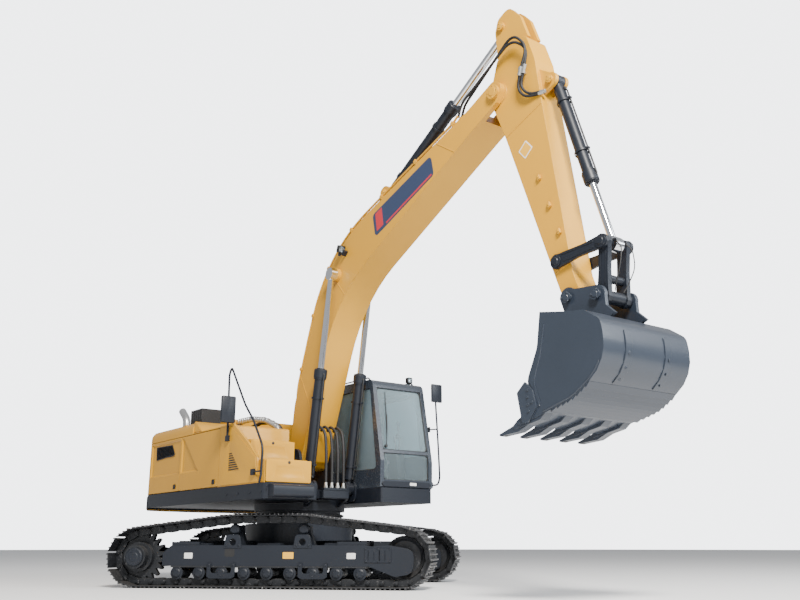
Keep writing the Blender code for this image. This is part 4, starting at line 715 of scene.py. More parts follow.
def belt():
    """The belt's hull as a closed route that starts under the rear wheel."""
    spots = []
    for x, z, radius in ((WHEEL_X, WHEEL_Z, PITCH_RADIUS), (-WHEEL_X, WHEEL_Z, PITCH_RADIUS),
                         (CARRIER_X, CARRIER_Z, CARRIER_REACH), (-CARRIER_X, CARRIER_Z, CARRIER_REACH)):
        spots += [Vector(point) for point in circle((x, z), radius, 360)]
    return [spots[i] for i in geometry.convex_hull_2d(spots)]


def evenly(route, count):
    """Equal steps round a closed route."""
    lengths = [(b - a).length for a, b in zip(route, route[1:] + route[:1])]
    step, found, i, used = sum(lengths) / count, [], 0, 0.0
    for k in range(count):
        while used + lengths[i] < k * step:
            used += lengths[i]
            i += 1
        a, b = route[i], route[(i + 1) % len(route)]
        found.append(a + (b - a) * ((k * step - used) / lengths[i]))
    return found


pins = evenly(belt(), SHOES)
PITCH = (pins[1] - pins[0]).length
print("pitch", round(PITCH * 1000, 1), "mm")

# %% [markdown]
# ## One pitch of the track
# Each step of the chain is a pair of forged links, a pin, and a rolled steel shoe with three low
# bars, held by four bolts. The bars are kept apart, because the ground rubs them bright.

# %% Links, shoe, bolts and bars
pitch_piece = Shape()
half = PITCH / 2
for side in (-1, 1):
    inner, outer = side * 0.045, side * 0.078
    low_y, high_y = min(inner, outer), max(inner, outer)
    pitch_piece.plate(rounded([(-half - 0.030, -0.030, 0.02), (-0.040, -0.048, 0.03), (0.040, -0.048, 0.03),
                               (half + 0.026, -0.030, 0.02), (half + 0.026, 0.028, 0.02),
                               (0.052, 0.044, 0.01),
                               (-0.052, 0.044, 0.01), (-half - 0.030, 0.028, 0.02)], 3),
                      low_y, high_y, bevel=0.003, segments=1)
    pitch_piece.bar((half, side * 0.078, 0), (half, side * 0.104, 0), 0.030, sides=14)
pitch_piece.bar((half, -0.112, 0), (half, 0.112, 0), 0.017, sides=12)
pitch_piece.plate([(-half + 0.004, 0.045), (half - 0.006, 0.045), (half + 0.012, 0.051),
                   (half + 0.012, 0.060),
                   (half - 0.012, 0.057), (-half + 0.002, 0.057)], -0.298, 0.298, bevel=0.002, segments=1)
for x in (-0.048, 0.030):
    for y in (-0.078, 0.078):
        pitch_piece.bolt((x, y, 0.057), (0, 0, 1), 0.013)
bar_piece = Shape()
for x, top in ((-0.078, 0.0795), (-0.012, 0.0765), (0.056, 0.0765)):
    bar_piece.plate([(x - 0.011, 0.056), (x + 0.011, 0.056), (x + 0.006, top), (x - 0.006, top)],
                    -0.297, 0.297,
                    bevel=0.002, segments=1)
for label, side in SIDES:
    chain, bars = Shape(UNDER), Shape(UNDER)
    for a, b in zip(pins, pins[1:] + pins[:1]):
        along = (b - a).normalized()
        across = Vector((along.y, -along.x))
        middle = (a + b) / 2
        place = Matrix(((along.x, 0, across.x, middle.x), (0, 1, 0, side * TRACK_CENTRE),
                        (along.y, 0, across.y, middle.y), (0, 0, 0, 1)))
        chain.copy_mesh(pitch_piece, place)
        bars.copy_mesh(bar_piece, place)
    chain.make(f"track_chain_{label}", "undercarriage", TRACK, "track_steel", replaces=[f"track_{label}"])
    bars.make(f"track_bars_{label}", "undercarriage", BARS, "track_steel")
print("shoes:", 2 * SHOES)

# %% [markdown]
# ## Rollers and final drives
# Bottom rollers hang under the beam in cast collars with a bolted cap at each end. The sprocket's
# hub is the cover of the planetary final drive, with a ring of bolts and two oil plugs.

# %% Roller collars, hub caps and drive covers
ROLLER_X = [(-1.28 + 0.32 * i) for i in range(9)]
ROLLER_Z = 0.198
for label, side in SIDES:
    centre = side * TRACK_CENTRE
    caps = Shape(UNDER)
    for x in ROLLER_X:
        for end in (-1, 1):
            face = centre + end * 0.128
            caps.turned([(0, 0.0), (0.084, 0.0), (0.088, end * 0.006), (0.088, end * 0.016),
                         (0.060, end * 0.022),
                         (0.060, end * 0.036), (0.052, end * 0.042), (0.020, end * 0.044),
                         (0, end * 0.044)],
                        (x, face, ROLLER_Z), steps=24)
            caps.bolt_ring((x, face + end * 0.043, ROLLER_Z), 0.040, 6, (0, end, 0), 0.007, 30)
            caps.plate(rounded([(x - 0.050, ROLLER_Z - 0.01, 0.0), (x - 0.035, ROLLER_Z - 0.052, 0.02),
                                (x + 0.035, ROLLER_Z - 0.052, 0.02), (x + 0.050, ROLLER_Z - 0.01, 0.0),
                                (x + 0.062, beam_low.z + 0.11, 0), (x - 0.062, beam_low.z + 0.11, 0)], 3),
                       centre + end * 0.126, centre + end * 0.142, bevel=0.003, segments=1)
    caps.make(f"roller_caps_{label}", "undercarriage", GRAPHITE, "track_steel")

    drive_low, drive_high = span(f"sprocket_{label}", UNDER)
    face = drive_high.y if side > 0 else drive_low.y
    hub = Shape(UNDER)
    hub.turned([(0, side * 0.030), (0.060, side * 0.030), (0.068, side * 0.022), (0.112, side * 0.018),
                (0.125, side * 0.004), (0.125, side * -0.01)], (-WHEEL_X, face, WHEEL_Z), steps=40)
    hub.bolt_ring((-WHEEL_X, face + side * 0.018, WHEEL_Z), 0.100, 18, (0, side, 0), 0.008)
    for angle in (90, 215):
        hub.bolt((-WHEEL_X + 0.042 * math.cos(math.radians(angle)), face + side * 0.030,
                  WHEEL_Z + 0.042 * math.sin(math.radians(angle))), (0, side, 0), 0.012)
    hub.make(f"final_drive_cover_{label}", "undercarriage", GRAPHITE, "frame_paint")
print("rollers:", 2 * len(ROLLER_X))

# %% [markdown]
# ## On the beams
# The track beams carry the carrier roller saddles, serrated steps, track guards that keep the chain
# under the rollers, the idler's spring cover, and small riveted plates, which stay blank here. A flat
# black sheet on each beam is painted shade, standing for the dark inside of the tensioner port.

# %% Beam fittings
for label, side in SIDES:
    centre = side * TRACK_CENTRE
    face = centre + side * 0.15
    fittings = Shape(UNDER)
    for x in (-CARRIER_X, CARRIER_X):
        arch = rounded([(x - 0.13, 0.52, 0), (x + 0.13, 0.52, 0), (x + 0.10, 0.70, 0.05),
                        (x - 0.10, 0.70, 0.05)], 4)
        fittings.plate(arch, face - side * 0.024, face + side * 0.012, bevel=0.004,
                       holes=[circle((x, 0.60), 0.045, 16)])
        for dx in (-0.085, 0.085):
            fittings.bolt((x + dx, face + side * 0.012, 0.555), (0, side, 0), 0.013)
    for x in (-1.02, 0.0, 0.94):
        for y in (-0.10, -0.05, 0.0, 0.05, 0.10):
            fittings.block((x - 0.16, centre + y - 0.004, 0.545), (x + 0.16, centre + y + 0.004, 0.578),
                           0.0)
            for k in range(8):
                tooth = x - 0.15 + 0.04 * k
                fittings.block((tooth, centre + y - 0.004, 0.575),
                               (tooth + 0.02, centre + y + 0.004, 0.588), 0.0)
    for x in (-0.64, 0.64):
        for end in (-1, 1):
            guard = centre + end * 0.162
            fittings.plate(rounded([(x - 0.20, 0.33, 0.01), (x - 0.20, 0.15, 0.02), (x - 0.15, 0.125, 0.02),
                                    (x + 0.15, 0.125, 0.02), (x + 0.20, 0.15, 0.02), (x + 0.20, 0.33, 0.01),
                                    (x + 0.145, 0.33, 0.01), (x + 0.145, 0.20, 0.03),
                                    (x - 0.145, 0.20, 0.03),
                                    (x - 0.145, 0.33, 0.01)], 3), guard - 0.009, guard + 0.009, bevel=0.003)
            for dx in (-0.172, 0.172):
                fittings.bolt((x + dx, guard + end * 0.009, 0.30), (0, end, 0), 0.013)
    for k in range(4):
        fittings.block((1.38 + 0.075 * k, face - side * 0.004 - 0.012, 0.36),
                       (1.405 + 0.075 * k, face - side * 0.004 + 0.016, 0.50), 0.004)
    fittings.block((1.34, min(face, face + side * 0.008), 0.335),
                   (1.70, max(face, face + side * 0.008), 0.525), 0.003)
    for x in (1.36, 1.52, 1.68):
        for z in (0.352, 0.508):
            fittings.bolt((x, face + side * 0.008, z), (0, side, 0), 0.010)
    fittings.make(f"beam_fittings_{label}", "undercarriage", GRAPHITE, "frame_paint")

    for k, (x, width, height, paint) in enumerate(((-1.18, 0.12, 0.075, SIGN_WHITE),
                                                   (0.22, 0.15, 0.085, SIGN_YELLOW),
                                                   (1.10, 0.12, 0.075, SIGN_WHITE))):
        sign = Shape(UNDER)
        low_y, high_y = sorted((face, face + side * 0.003))
        sign.plate(oblong(x, 0.385, x + width, 0.385 + height, 0.01), low_y, high_y, bevel=0.001,
                   segments=1)
        sign.make(f"beam_plate_{label}_{k}", "undercarriage", paint, "trim_plastic")
    # A flat black sheet on the beam is painted shade: it stands for the dark inside of the tensioner port.
    hole = Shape(UNDER)
    low_y, high_y = sorted((face, face + side * 0.002))
    hole.plate(oblong(-0.60, 0.41, -0.46, 0.51, 0.02, 4), low_y, high_y, bevel=0.0)
    hole.make(f"tensioner_port_painted_shade_{label}", "undercarriage", RUBBER, "frame_paint")
print("beam fittings done")

# %% [markdown]
# ## The slewing ring
# The house turns on a big ball bearing. From outside one sees its two races and a circle of bolts.

# %% Slewing ring
ring = Shape(HOUSE)
ring_top = span("carbody", HOUSE)[1].z
ring.turned([(0.50, -0.075), (0.66, -0.075), (0.67, -0.068), (0.67, -0.050), (0.645, -0.044),
             (0.645, -0.034),
             (0.50, -0.034)], (0.0, 0.0, ring_top), "Z", 72)
ring.bolt_ring((0, 0, ring_top - 0.052), 0.655, 36, (0, 0, 1), 0.011, plane="XY")
ring.make("slewing_ring", "undercarriage", TRACK, "track_steel")
print("carbody top", round(ring_top, 3))

# %% [markdown]
# ## Pressed panels
# Thin doors are pressed with a sunken field, which stiffens the sheet and gives the side its look.
# A pressed panel is a flat rim, a slope and a sunken floor, closed behind by its folded edge.


# %% Pressed sheet
def shrunk(loop, by):
    """A convex, anticlockwise loop moved inwards."""
    found = []
    for i, corner in enumerate(loop):
        before, here, after = Vector(loop[i - 1]), Vector(corner), Vector(loop[(i + 1) % len(loop)])
        one, two = (here - before).normalized(), (after - here).normalized()
        normals = Vector((-one.y, one.x)), Vector((-two.y, two.x))
        middle = (normals[0] + normals[1]).normalized()
        found.append(tuple(here + middle * (by / max(0.2, middle.dot(normals[0])))))
    return found


def pressed(shape, outline, field, face, inward, plane="XZ", depth=0.024, thick=0.035, slope=0.022):
    """A panel with a sunken field; inward is +1 or -1 along the plane's depth."""
    floor = shrunk(field, slope)
    rings = [(outline, face), (field, face), (floor, face + inward * depth),
             (outline, face + inward * thick)]
    rim, edge, base, back = [
        [shape.mesh.verts.new(onto_plane(a, b, level, plane)) for a, b in loop] for loop, level in rings]
    loops = [[Vector((a, b, 0)) for a, b in outline], [Vector((a, b, 0)) for a, b in field]]
    both, faces = rim + edge, []
    for tri in geometry.tessellate_polygon(loops):
        faces.append(shape.mesh.faces.new([both[i] for i in tri]))
    for one, two in ((edge, base), (rim, back)):
        for i in range(len(one)):
            j = (i + 1) % len(one)
            faces.append(shape.mesh.faces.new((one[i], one[j], two[j], two[i])))
    faces.append(shape.mesh.faces.new(base))
    faces.append(shape.mesh.faces.new(back))
    bmesh.ops.recalc_face_normals(shape.mesh, faces=faces)
    flat = [e for e in once(e for f in faces for e in f.edges) if e.calc_face_angle(0.0) < 0.001]
    bmesh.ops.dissolve_edges(shape.mesh, edges=flat)
    shape._soften([v for v in rim + edge + base if v.is_valid], 0.004, 2, 15.0)


# %% [markdown]
# ## Doors of the right side
# Two side doors share one long sunken field that ends in a slanting crease. The rear one has the
# cooling vent, with a dark sheet of painted shade behind its slats. Latches are black, with a slot for the
# key.

# %% Right doors
SIDE = -1.392
for name, field in (
        ("right_rear_door", [(-2.545, 1.63), (-1.36, 1.63), (-1.36, 2.165), (-2.545, 2.165)]),
        ("right_front_door", [(-1.31, 1.63), (-0.66, 1.63), (-1.24, 2.165), (-1.31, 2.165)])):
    low, high = span(name, HOUSE)
    door = Shape(HOUSE)
    pressed(door, oblong(low.x, low.z, high.x, high.z, 0.012), field, SIDE, 1.0)
    door.make(f"{name}_skin", name, YELLOW, "body_paint", replaces=[name])
    latch = Shape(HOUSE)
    x = high.x - 0.16
    latch.block((x - 0.045, SIDE - 0.010, 1.405), (x + 0.045, SIDE + 0.002, 1.475), 0.006)
    latch.block((x - 0.032, SIDE - 0.016, 1.418), (x + 0.010, SIDE - 0.006, 1.462), 0.005)
    latch.bar((x + 0.026, SIDE - 0.014, 1.44), (x + 0.026, SIDE - 0.006, 1.44), 0.009)
    latch.make(f"{name}_latch", name, TRIM, "trim_plastic")

vent = Shape(HOUSE)
corners = [(-2.36, 1.90), (-1.60, 1.94), (-1.74, 2.11), (-2.38, 2.12)]
vent.plate(rounded([(a, b, 0.02) for a, b in corners], 4), SIDE + 0.014, SIDE + 0.026, bevel=0.003,
           holes=[rounded([(a, b, 0.01) for a, b in shrunk(corners, 0.014)], 3)])
# The dark sheet behind the slats is painted shade: it stands for the dark space seen through the vent.
vent.plate(shrunk(corners, 0.010), SIDE + 0.024, SIDE + 0.026, bevel=0.0)
for k in range(9):
    z = 1.925 + 0.020 * k
    left, right = -2.35, -1.60 - 0.14 * max(0.0, z - 1.94) / 0.17
    vent.block((left, SIDE + 0.013, z - 0.0025), (right - 0.02, SIDE + 0.026, z + 0.0025), 0.0)
vent.make("cooling_vent_and_painted_shade", "right_rear_door", GRAPHITE, "trim_plastic")

cover = Shape(HOUSE)
pressed(cover, [(0.072, 1.367), (1.255, 1.367), (1.175, 1.70), (0.40, 2.195), (0.072, 2.195)],
        [(0.34, 1.54), (0.74, 1.54), (0.42, 1.86), (0.36, 1.86)], SIDE - 0.006, 1.0, depth=0.010,
        thick=0.012)
cover.make("front_side_cover", "upper_structure", YELLOW, "body_paint")
grille = Shape(HOUSE)
for k in range(8):
    z = 1.57 + 0.032 * k
    grille.block((0.375, SIDE - 0.004, z), (0.70 - max(0.0, z - 1.56), SIDE + 0.003, z + 0.016), 0.002)
grille.make("front_side_grille", "upper_structure", TRIM, "trim_plastic")
print("right side done")

# %% [markdown]
# ## Left door
# On the left the oil and water coolers breathe through a door with three rows of louvres.

# %% Left door louvres
low, high = span("left_door", HOUSE)
louvres = Shape(HOUSE)
for row in range(3):
    for k in range(9):
        x = low.x + 0.14 + row * (high.x - low.x - 0.2) / 3
        z = low.z + 0.20 + 0.055 * k
        wide = (high.x - low.x - 0.2) / 3 - 0.08
        louvres.plate([(high.y - 0.002, z), (high.y + 0.010, z), (high.y + 0.002, z + 0.036),
                       (high.y - 0.002, z + 0.036)],
                      x, x + wide, "YZ", 0.002, 1)
louvres.make("left_door_louvres", "left_door", YELLOW, "body_paint")
latch = Shape(HOUSE)
latch.block((high.x - 0.20, high.y - 0.004, 1.42), (high.x - 0.11, high.y + 0.010, 1.49), 0.005)
latch.bar((high.x - 0.13, high.y + 0.006, 1.455), (high.x - 0.13, high.y + 0.014, 1.455), 0.009)
latch.make("left_door_latch", "left_door", TRIM, "trim_plastic")

# %% [markdown]
# ## Tail
# The counterweight is one casting. A dark skirt wraps its lower edge and reaches a few millimetres
# under the deck, so that no yellow shows from below. Two lifting eyes and a pair of red reflectors
# finish the tail.

# %% Skirt, lifting eyes and reflectors
TAIL = 2.989
reach = math.degrees(math.asin(1.39 / TAIL))
arc = [(-x, -y) for x, y in circle((0, 0), TAIL, 24, -reach, reach)]
skirt = Shape(HOUSE)
skirt.plate(arc + [(-2.596, -1.394), (-2.596, 1.394)], 1.104, 1.350, "XY", 0.02, 3)
skirt.make("tail_skirt", "upper_structure", GRAPHITE, "frame_paint")
eyes = Shape(HOUSE)
for y in (-0.62, 0.62):
    eyes.plate(rounded([(-2.86, 2.27, 0), (-2.70, 2.27, 0), (-2.70, 2.37, 0.05), (-2.86, 2.37, 0.05)], 5),
               y - 0.02, y + 0.02, bevel=0.004, holes=[circle((-2.78, 2.325), 0.024, 16)])
eyes.make("lifting_eyes", "upper_structure", YELLOW, "body_paint")
reflectors = Shape(HOUSE)
for y in (-1.02, 1.02):
    aim = Vector((-math.sqrt(TAIL**2 - y * y), y, 1.52))
    turn = Matrix.Translation(aim) @ Matrix.Rotation(math.atan2(-aim.y, -aim.x), 4, "Z")
    reflectors.block((-0.006, -0.085, -0.028), (0.010, 0.085, 0.028), 0.004, turn)
reflectors.make("tail_reflectors", "upper_structure", RED, "trim_plastic")

# %% [markdown]
# ## Roof of the house
# The hood over the engine is louvred, a sloping fairing leads down to the tank tops, and the tanks
# carry a filler cap and a bolted inspection lid. A silver air pipe and two hoses cross to the boom.

# %% Hood, tanks and pipes
low, high = span("engine_hood", HOUSE)
hood = Shape(HOUSE)
for row in (-1, 1):
    for k in range(10):
        x = low.x + 0.22 + 0.105 * k
        hood.plate([(x, high.z - 0.003), (x + 0.07, high.z - 0.003), (x + 0.055, high.z + 0.016),
                    (x + 0.01, high.z + 0.014)],
                   row * 0.40 - 0.22, row * 0.40 + 0.22, bevel=0.003, segments=1)
hood.make("hood_louvres", "engine_hood", YELLOW, "body_paint")
grip = Shape(HOUSE)
grip.sweep([(high.x - 0.06, -0.09, high.z - 0.01), (high.x - 0.06, -0.09, high.z + 0.04),
            (high.x - 0.06, 0.09, high.z + 0.04), (high.x - 0.06, 0.09, high.z - 0.01)], 0.008, 10, 0.03)
grip.make("hood_handle", "engine_hood", TRIM, "trim_plastic")

fairing = Shape(HOUSE)
fairing.plate([(-0.925, 2.225), (-0.66, 2.225), (-0.70, 2.262), (-0.905, 2.398), (-0.925, 2.398)],
              -1.37, -0.50,
              bevel=0.006)
fairing.make("roof_fairing", "upper_structure", YELLOW, "body_paint")

tops = Shape(HOUSE)
deck_z = span("tanks", HOUSE)[1].z
tops.turned([(0, 0.052), (0.050, 0.050), (0.056, 0.042), (0.056, 0.012), (0.075, 0.008), (0.075, -0.01)],
            (-0.05, -1.10, deck_z), "Z", 28)
for k in range(12):
    angle = math.radians(30 * k)
    tops.bar((-0.05 + 0.056 * math.cos(angle), -1.10 + 0.056 * math.sin(angle), deck_z + 0.012),
             (-0.05 + 0.056 * math.cos(angle), -1.10 + 0.056 * math.sin(angle), deck_z + 0.042), 0.005,
             sides=8)
tops.plate(circle((-0.42, -0.82), 0.15, 32), deck_z - 0.004, deck_z + 0.014, "XY", 0.003)
tops.bolt_ring((-0.42, -0.82, deck_z + 0.014), 0.125, 8, (0, 0, 1), 0.011, plane="XY")
tops.make("tank_tops", "upper_structure", TRIM, "trim_plastic")

pipe = Shape(HOUSE)
run = [Vector((-0.98, -0.60, 2.46)), Vector((-0.62, -0.56, 2.47)), Vector((-0.25, -0.50, 2.42)),
       Vector((0.0, -0.44, 2.30)), Vector((0.06, -0.42, 2.19))]
pipe.sweep(run, 0.042, 16, 0.14, 6)
for a, b in zip(run, run[1:]):
    for t in (0.15, 0.3, 0.45, 0.6, 0.75, 0.9):
        spot = a.lerp(b, t)
        pipe.bar(spot - (b - a).normalized() * 0.007, spot + (b - a).normalized() * 0.007, 0.047, sides=16)
pipe.make("air_pipe", "upper_structure", EXHAUST_STEEL, "exhaust_steel")
hoses = Shape(HOUSE)
for k, y in enumerate((-0.47, -0.40)):
    hoses.sweep([(-0.98, y, 2.34), (-0.55, y, 2.40 + 0.02 * k), (-0.10, y + 0.05, 2.36),
                 (0.12, y + 0.08, 2.08),
                 (0.16, y + 0.10, 1.80)], 0.021, 10, 0.12, 5)
hoses.make("tank_hoses", "upper_structure", RUBBER, "trim_plastic")
print("house roof done")

# %% [markdown]
# ## Tool boxes and front step
# The steps to the roof are two tool boxes. Their lids are pressed with a sunken field and end at the
# line of their hinge, so that they clear the box when they open. A round key lock shuts them. The
# boxes' tops have studded pads, and under them is a black step with a work lamp.

# %% Tool box lids, pads and step
HINGE_RADIUS = 0.0095
for level in ("lower", "upper"):
    name = f"toolbox_flap_{level}"
    low, high = span(name, HOUSE)
    lid = Shape(HOUSE)
    face = high.x - 0.004
    pin = high.z - HINGE_RADIUS
    outline = rounded([(low.y, low.z, 0.02), (high.y, low.z, 0.02), (high.y, pin, 0.008),
                       (low.y, pin, 0.008)], 4)
    field = [(low.y + 0.10, low.z + 0.05), (high.y - 0.10, low.z + 0.05), (high.y - 0.15, high.z - 0.07),
             (low.y + 0.15, high.z - 0.07)]
    pressed(lid, outline, field, face, -1.0, "YZ", 0.014, 0.022, 0.020)
    lid.bar((low.x + HINGE_RADIUS, low.y + 0.05, pin), (low.x + HINGE_RADIUS, high.y - 0.05, pin), 0.0085,
            sides=16)
    for y in (low.y + 0.12, high.y - 0.12):
        lid.block((low.x + 0.006, y - 0.03, pin - 0.014), (face - 0.012, y + 0.03, pin - 0.003), 0.001)
    lid.make(f"{name}_lid", name, YELLOW, "body_paint", replaces=[name])
    lock = Shape(HOUSE)
    lock.turned([(0, 0.010), (0.012, 0.010), (0.020, 0.006), (0.020, -0.004)],
                (face - 0.002, (low.y + high.y) / 2, high.z - 0.042), "X", 24)
    lock.make(f"{name}_lock", name, TRIM, "trim_plastic")

pads = Shape(HOUSE)
for x0, x1, z in ((0.98, 1.33, 1.661), (0.50, 0.86, 1.961)):
    pads.plate(oblong(x0, -1.28, x1, -0.73, 0.02), z - 0.002, z + 0.004, "XY", 0.001)
    for i in range(5):
        for j in range(8):
            x, y = x0 + 0.035 + i * (x1 - x0 - 0.07) / 4, -1.24 + 0.066 * j
            pads.bar((x, y, z + 0.003), (x, y, z + 0.010), 0.013, 0.009, 10)
pads.make("step_pads", "upper_structure", TRIM, "trim_plastic")

step = Shape(HOUSE)
for y0, y1 in ((-1.33, -1.16), (-1.10, -0.93), (-0.87, -0.70)):
    step.plate(oblong(y0, 1.18, y1, 1.32, 0.02), 1.462, 1.478, "YZ", 0.004,
               holes=[oblong(y0 + 0.03, 1.21, y1 - 0.03, 1.29, 0.015)])
for x in (0.35, 0.70, 1.05, 1.36):
    step.bolt((x, -1.392, 1.24), (0, -1, 0), 0.012)
for y in (-1.36, -1.13, -0.90, -0.67):
    step.bolt((1.468, y, 1.30), (1, 0, 0), 0.010)
step.make("front_step", "upper_structure", GRAPHITE, "frame_paint")


def work_lamp(name, body, place, turn, size=0.055):
    """A square work lamp: a housing, a bright reflector, its lens and a bracket."""
    at = Matrix.Translation(place) @ turn
    shell = Shape(at)
    rim = size - 0.01
    shell.plate(oblong(-size, -size, size, size, 0.015), -0.05, 0.012, "YZ", 0.004,
                holes=[oblong(-rim, -rim, rim, rim, 0.01)])
    shell.block((-0.052, -size + 0.004, -size + 0.004), (-0.045, size - 0.004, size - 0.004), 0.002)
    shell.block((-0.04, -0.018, -size - 0.05), (-0.01, 0.018, -size + 0.006), 0.003)
    shell.make(f"{name}_shell", body, TRIM, "trim_plastic")
    bowl = Shape(at)
    bowl.turned([(0.006, -0.040), (0.020, -0.036), (0.036, -0.020), (size - 0.012, 0.002)], (0, 0, 0),
                "X", 24)
    bowl.make(f"{name}_reflector", body, LAMP_GREY, "trim_plastic")
    lens = Shape(at)
    lens.block((0.003, -size + 0.009, -size + 0.009), (0.007, size - 0.009, size - 0.009), 0.0)
    lens.make(f"{name}_lens", body, LENS, "glazing")


work_lamp("step_lamp", "upper_structure", HOUSE @ Vector((1.500, -1.13, 1.27)), Matrix.Identity(4))
print("front step done")

# %% [markdown]
# ## Cab glass frame
# The cab's glass is set in black rubber. A seal is a rounded strip that follows the pane's edge, so
# it is drawn from the pane's own corners.


# %% Seals from the panes
def pane_edge(name, at):
    """The corner points of a pane's biggest face, in order, and its outward direction."""
    mesh = frame["nodes"][name].data
    faces = bmesh.new()
    faces.from_mesh(mesh)
    bmesh.ops.remove_doubles(faces, verts=faces.verts[:], dist=0.0001)
    bmesh.ops.dissolve_limit(faces, angle_limit=0.02, verts=faces.verts[:], edges=faces.edges[:])
    middle = sum((v.co for v in faces.verts), Vector()) / len(faces.verts)
    top = max(face.calc_area() for face in faces.faces)
    flats = [face for face in faces.faces if face.calc_area() > 0.9 * top]
    cab_low, cab_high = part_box("cab")
    heart = (Vector(cab_low) + Vector(cab_high)) / 2
    face = max(flats, key=lambda f: (f.calc_center_median() - heart).dot(f.normal))
    back = at.inverted()
    found = [back @ v.co for v in face.verts], (back.to_3x3() @ face.normal).normalized()
    faces.free()
    return found


def seal(name, body, width=0.016):
    """A rubber strip round a pane."""
    points, normal = pane_edge(name, HOUSE)
    strip = Shape(HOUSE)
    route = [p + normal * 0.003 for p in points]
    middle = sum(route, Vector()) / len(route)
    start = (route[0] + route[-1]) / 2
    strip.sweep([start] + route + [start], width / 2, 8, 0.07, 4)
    strip.make(f"{name}_seal", body, RUBBER, "trim_plastic")
    return points, normal, middle


screen, screen_out, screen_middle = seal("windscreen", "upper_structure", 0.022)
seal("lower_windscreen", "upper_structure")
seal("right_window", "upper_structure")
seal("rear_window", "upper_structure")
seal("door_window", "cab_door")
print("windscreen leans", round(math.degrees(math.asin(screen_out.z)), 1), "degrees")

# %% [markdown]
# ## Wiper
# The wiper's motor sits in the windscreen's lower corner near the boom, with a bent arm and a
# rubber blade in a metal bow.

# %% Wiper
low_z, high_z = min(p.z for p in screen), max(p.z for p in screen)
right_y = min(p.y for p in screen)


def on_screen(y, z, out=0.0):
    """A point on the windscreen's outside, lifted by a distance."""
    x = screen_middle.x - (z - screen_middle.z) * screen_out.z / screen_out.x
    return Vector((x, y, z)) + screen_out * out


wiper = Shape(HOUSE)
wiper.bar(on_screen(right_y + 0.06, low_z + 0.05, 0.0), on_screen(right_y + 0.06, low_z + 0.05, 0.035),
          0.022)
wiper.sweep([on_screen(right_y + 0.06, low_z + 0.05, 0.028), on_screen(right_y + 0.10, low_z + 0.30, 0.036),
             on_screen(right_y + 0.13, low_z + 0.52, 0.026)], 0.007, 8, 0.06)
wiper.sweep([on_screen(right_y + 0.10, low_z + 0.20, 0.010),
             on_screen(right_y + 0.125, low_z + 0.52, 0.024),
             on_screen(right_y + 0.15, low_z + 0.84, 0.010)], 0.005, 8, 0.05)
wiper.sweep([on_screen(right_y + 0.098, low_z + 0.16, 0.006),
             on_screen(right_y + 0.155, low_z + 0.88, 0.006)],
            0.005, 6, 0)
wiper.make("wiper", "upper_structure", TRIM, "trim_plastic")

# %% [markdown]
# ## Cab outside
# Rails run along the roof's edges, a hatch closes the roof and the door has a lever. A dark strip
# and a blank plate finish the nose under the windscreen, a lamp stands on the roof, and both mirrors
# get their glass, on the side that faces the operator.

# %% Roof, door handle and trim
cab_low, cab_high = span("cab", HOUSE)
roof = Shape(HOUSE)
for y in (cab_low.y + 0.07, cab_high.y - 0.07):
    roof.sweep([(cab_low.x + 0.16, y, cab_high.z - 0.02), (cab_low.x + 0.16, y, cab_high.z + 0.035),
                (cab_high.x - 0.42, y, cab_high.z + 0.035), (cab_high.x - 0.36, y, cab_high.z - 0.03)],
               0.012, 10, 0.05)
roof.plate(oblong(cab_low.x + 0.36, cab_low.y + 0.17, cab_low.x + 1.02, cab_high.y - 0.17, 0.06, 5),
           cab_high.z - 0.012, cab_high.z + 0.022, "XY", 0.008)
roof.make("roof_hatch_and_rails", "upper_structure", CAB_PAINT, "body_paint")

door_high = span("cab_door", HOUSE)[1]
lever = Shape(HOUSE)
y = door_high.y
lever.block((door_high.x - 0.17, y - 0.006, 1.90), (door_high.x - 0.05, y + 0.006, 2.00), 0.006)
lever.sweep([(door_high.x - 0.15, y, 1.95), (door_high.x - 0.15, y + 0.022, 1.95),
             (door_high.x - 0.07, y + 0.022, 1.95), (door_high.x - 0.07, y, 1.95)], 0.007, 8, 0.01)
lever.make("door_lever", "cab_door", TRIM, "trim_plastic")
tag = Shape(HOUSE)
tag.plate(oblong(0.98, 1.395, 1.10, 1.435, 0.008), cab_high.x + 0.005, cab_high.x + 0.008, "YZ", 0.001)
tag.make("blank_number_plate", "upper_structure", SIGN_WHITE, "trim_plastic")
nose = Shape(HOUSE)
nose.plate(oblong(cab_low.y + 0.03, 1.37, cab_high.y - 0.03, 1.45, 0.05, 4),
           cab_high.x - 0.02, cab_high.x + 0.006, "YZ", 0.01, 3)
nose.make("cab_nose_trim", "upper_structure", GRAPHITE, "body_paint")
work_lamp("cab_lamp", "upper_structure", HOUSE @ Vector((cab_high.x - 0.34, cab_high.y - 0.16,
                                                         cab_high.z + 0.06)),
          Matrix.Identity(4), 0.045)
glass = Shape(HOUSE)
glass.block((0.456, -1.595, 2.235), (0.462, -1.405, 2.585), 0.002)
glass.block((1.466, 1.400, 2.675), (1.472, 1.570, 2.925), 0.002)
glass.make("mirror_glass", "upper_structure", MIRROR, "rod_chrome")
print("cab outside done")

# %% [markdown]
# ## Inside the cab
# The operator sits on a sprung seat. Its bellows and frame are one moulded piece, and three padded
# cushions have well-rounded edges.

# %% The operator's chair
seat_low, seat_high = span("operator_seat", HOUSE)
sx, sy, sz = (seat_low.x + seat_high.x) / 2, (seat_low.y + seat_high.y) / 2, seat_low.z


def cushion(name, low, high, lean=0.0):
    """A cushion: a leaning block with well-rounded edges, cut into a finer grid."""
    low, high = Vector(low), Vector(high)
    middle = (low + high) / 2
    shape = Shape(HOUSE @ Matrix.Translation(middle) @ Matrix.Rotation(math.radians(lean), 4, "Y"))
    shape.block(low - middle, high - middle, 0.045)
    bmesh.ops.subdivide_edges(shape.mesh, edges=shape.mesh.edges[:], cuts=2, use_grid_fill=True)
    made = shape.make(name, "upper_structure", CLOTH, "seat_fabric", 60.0)


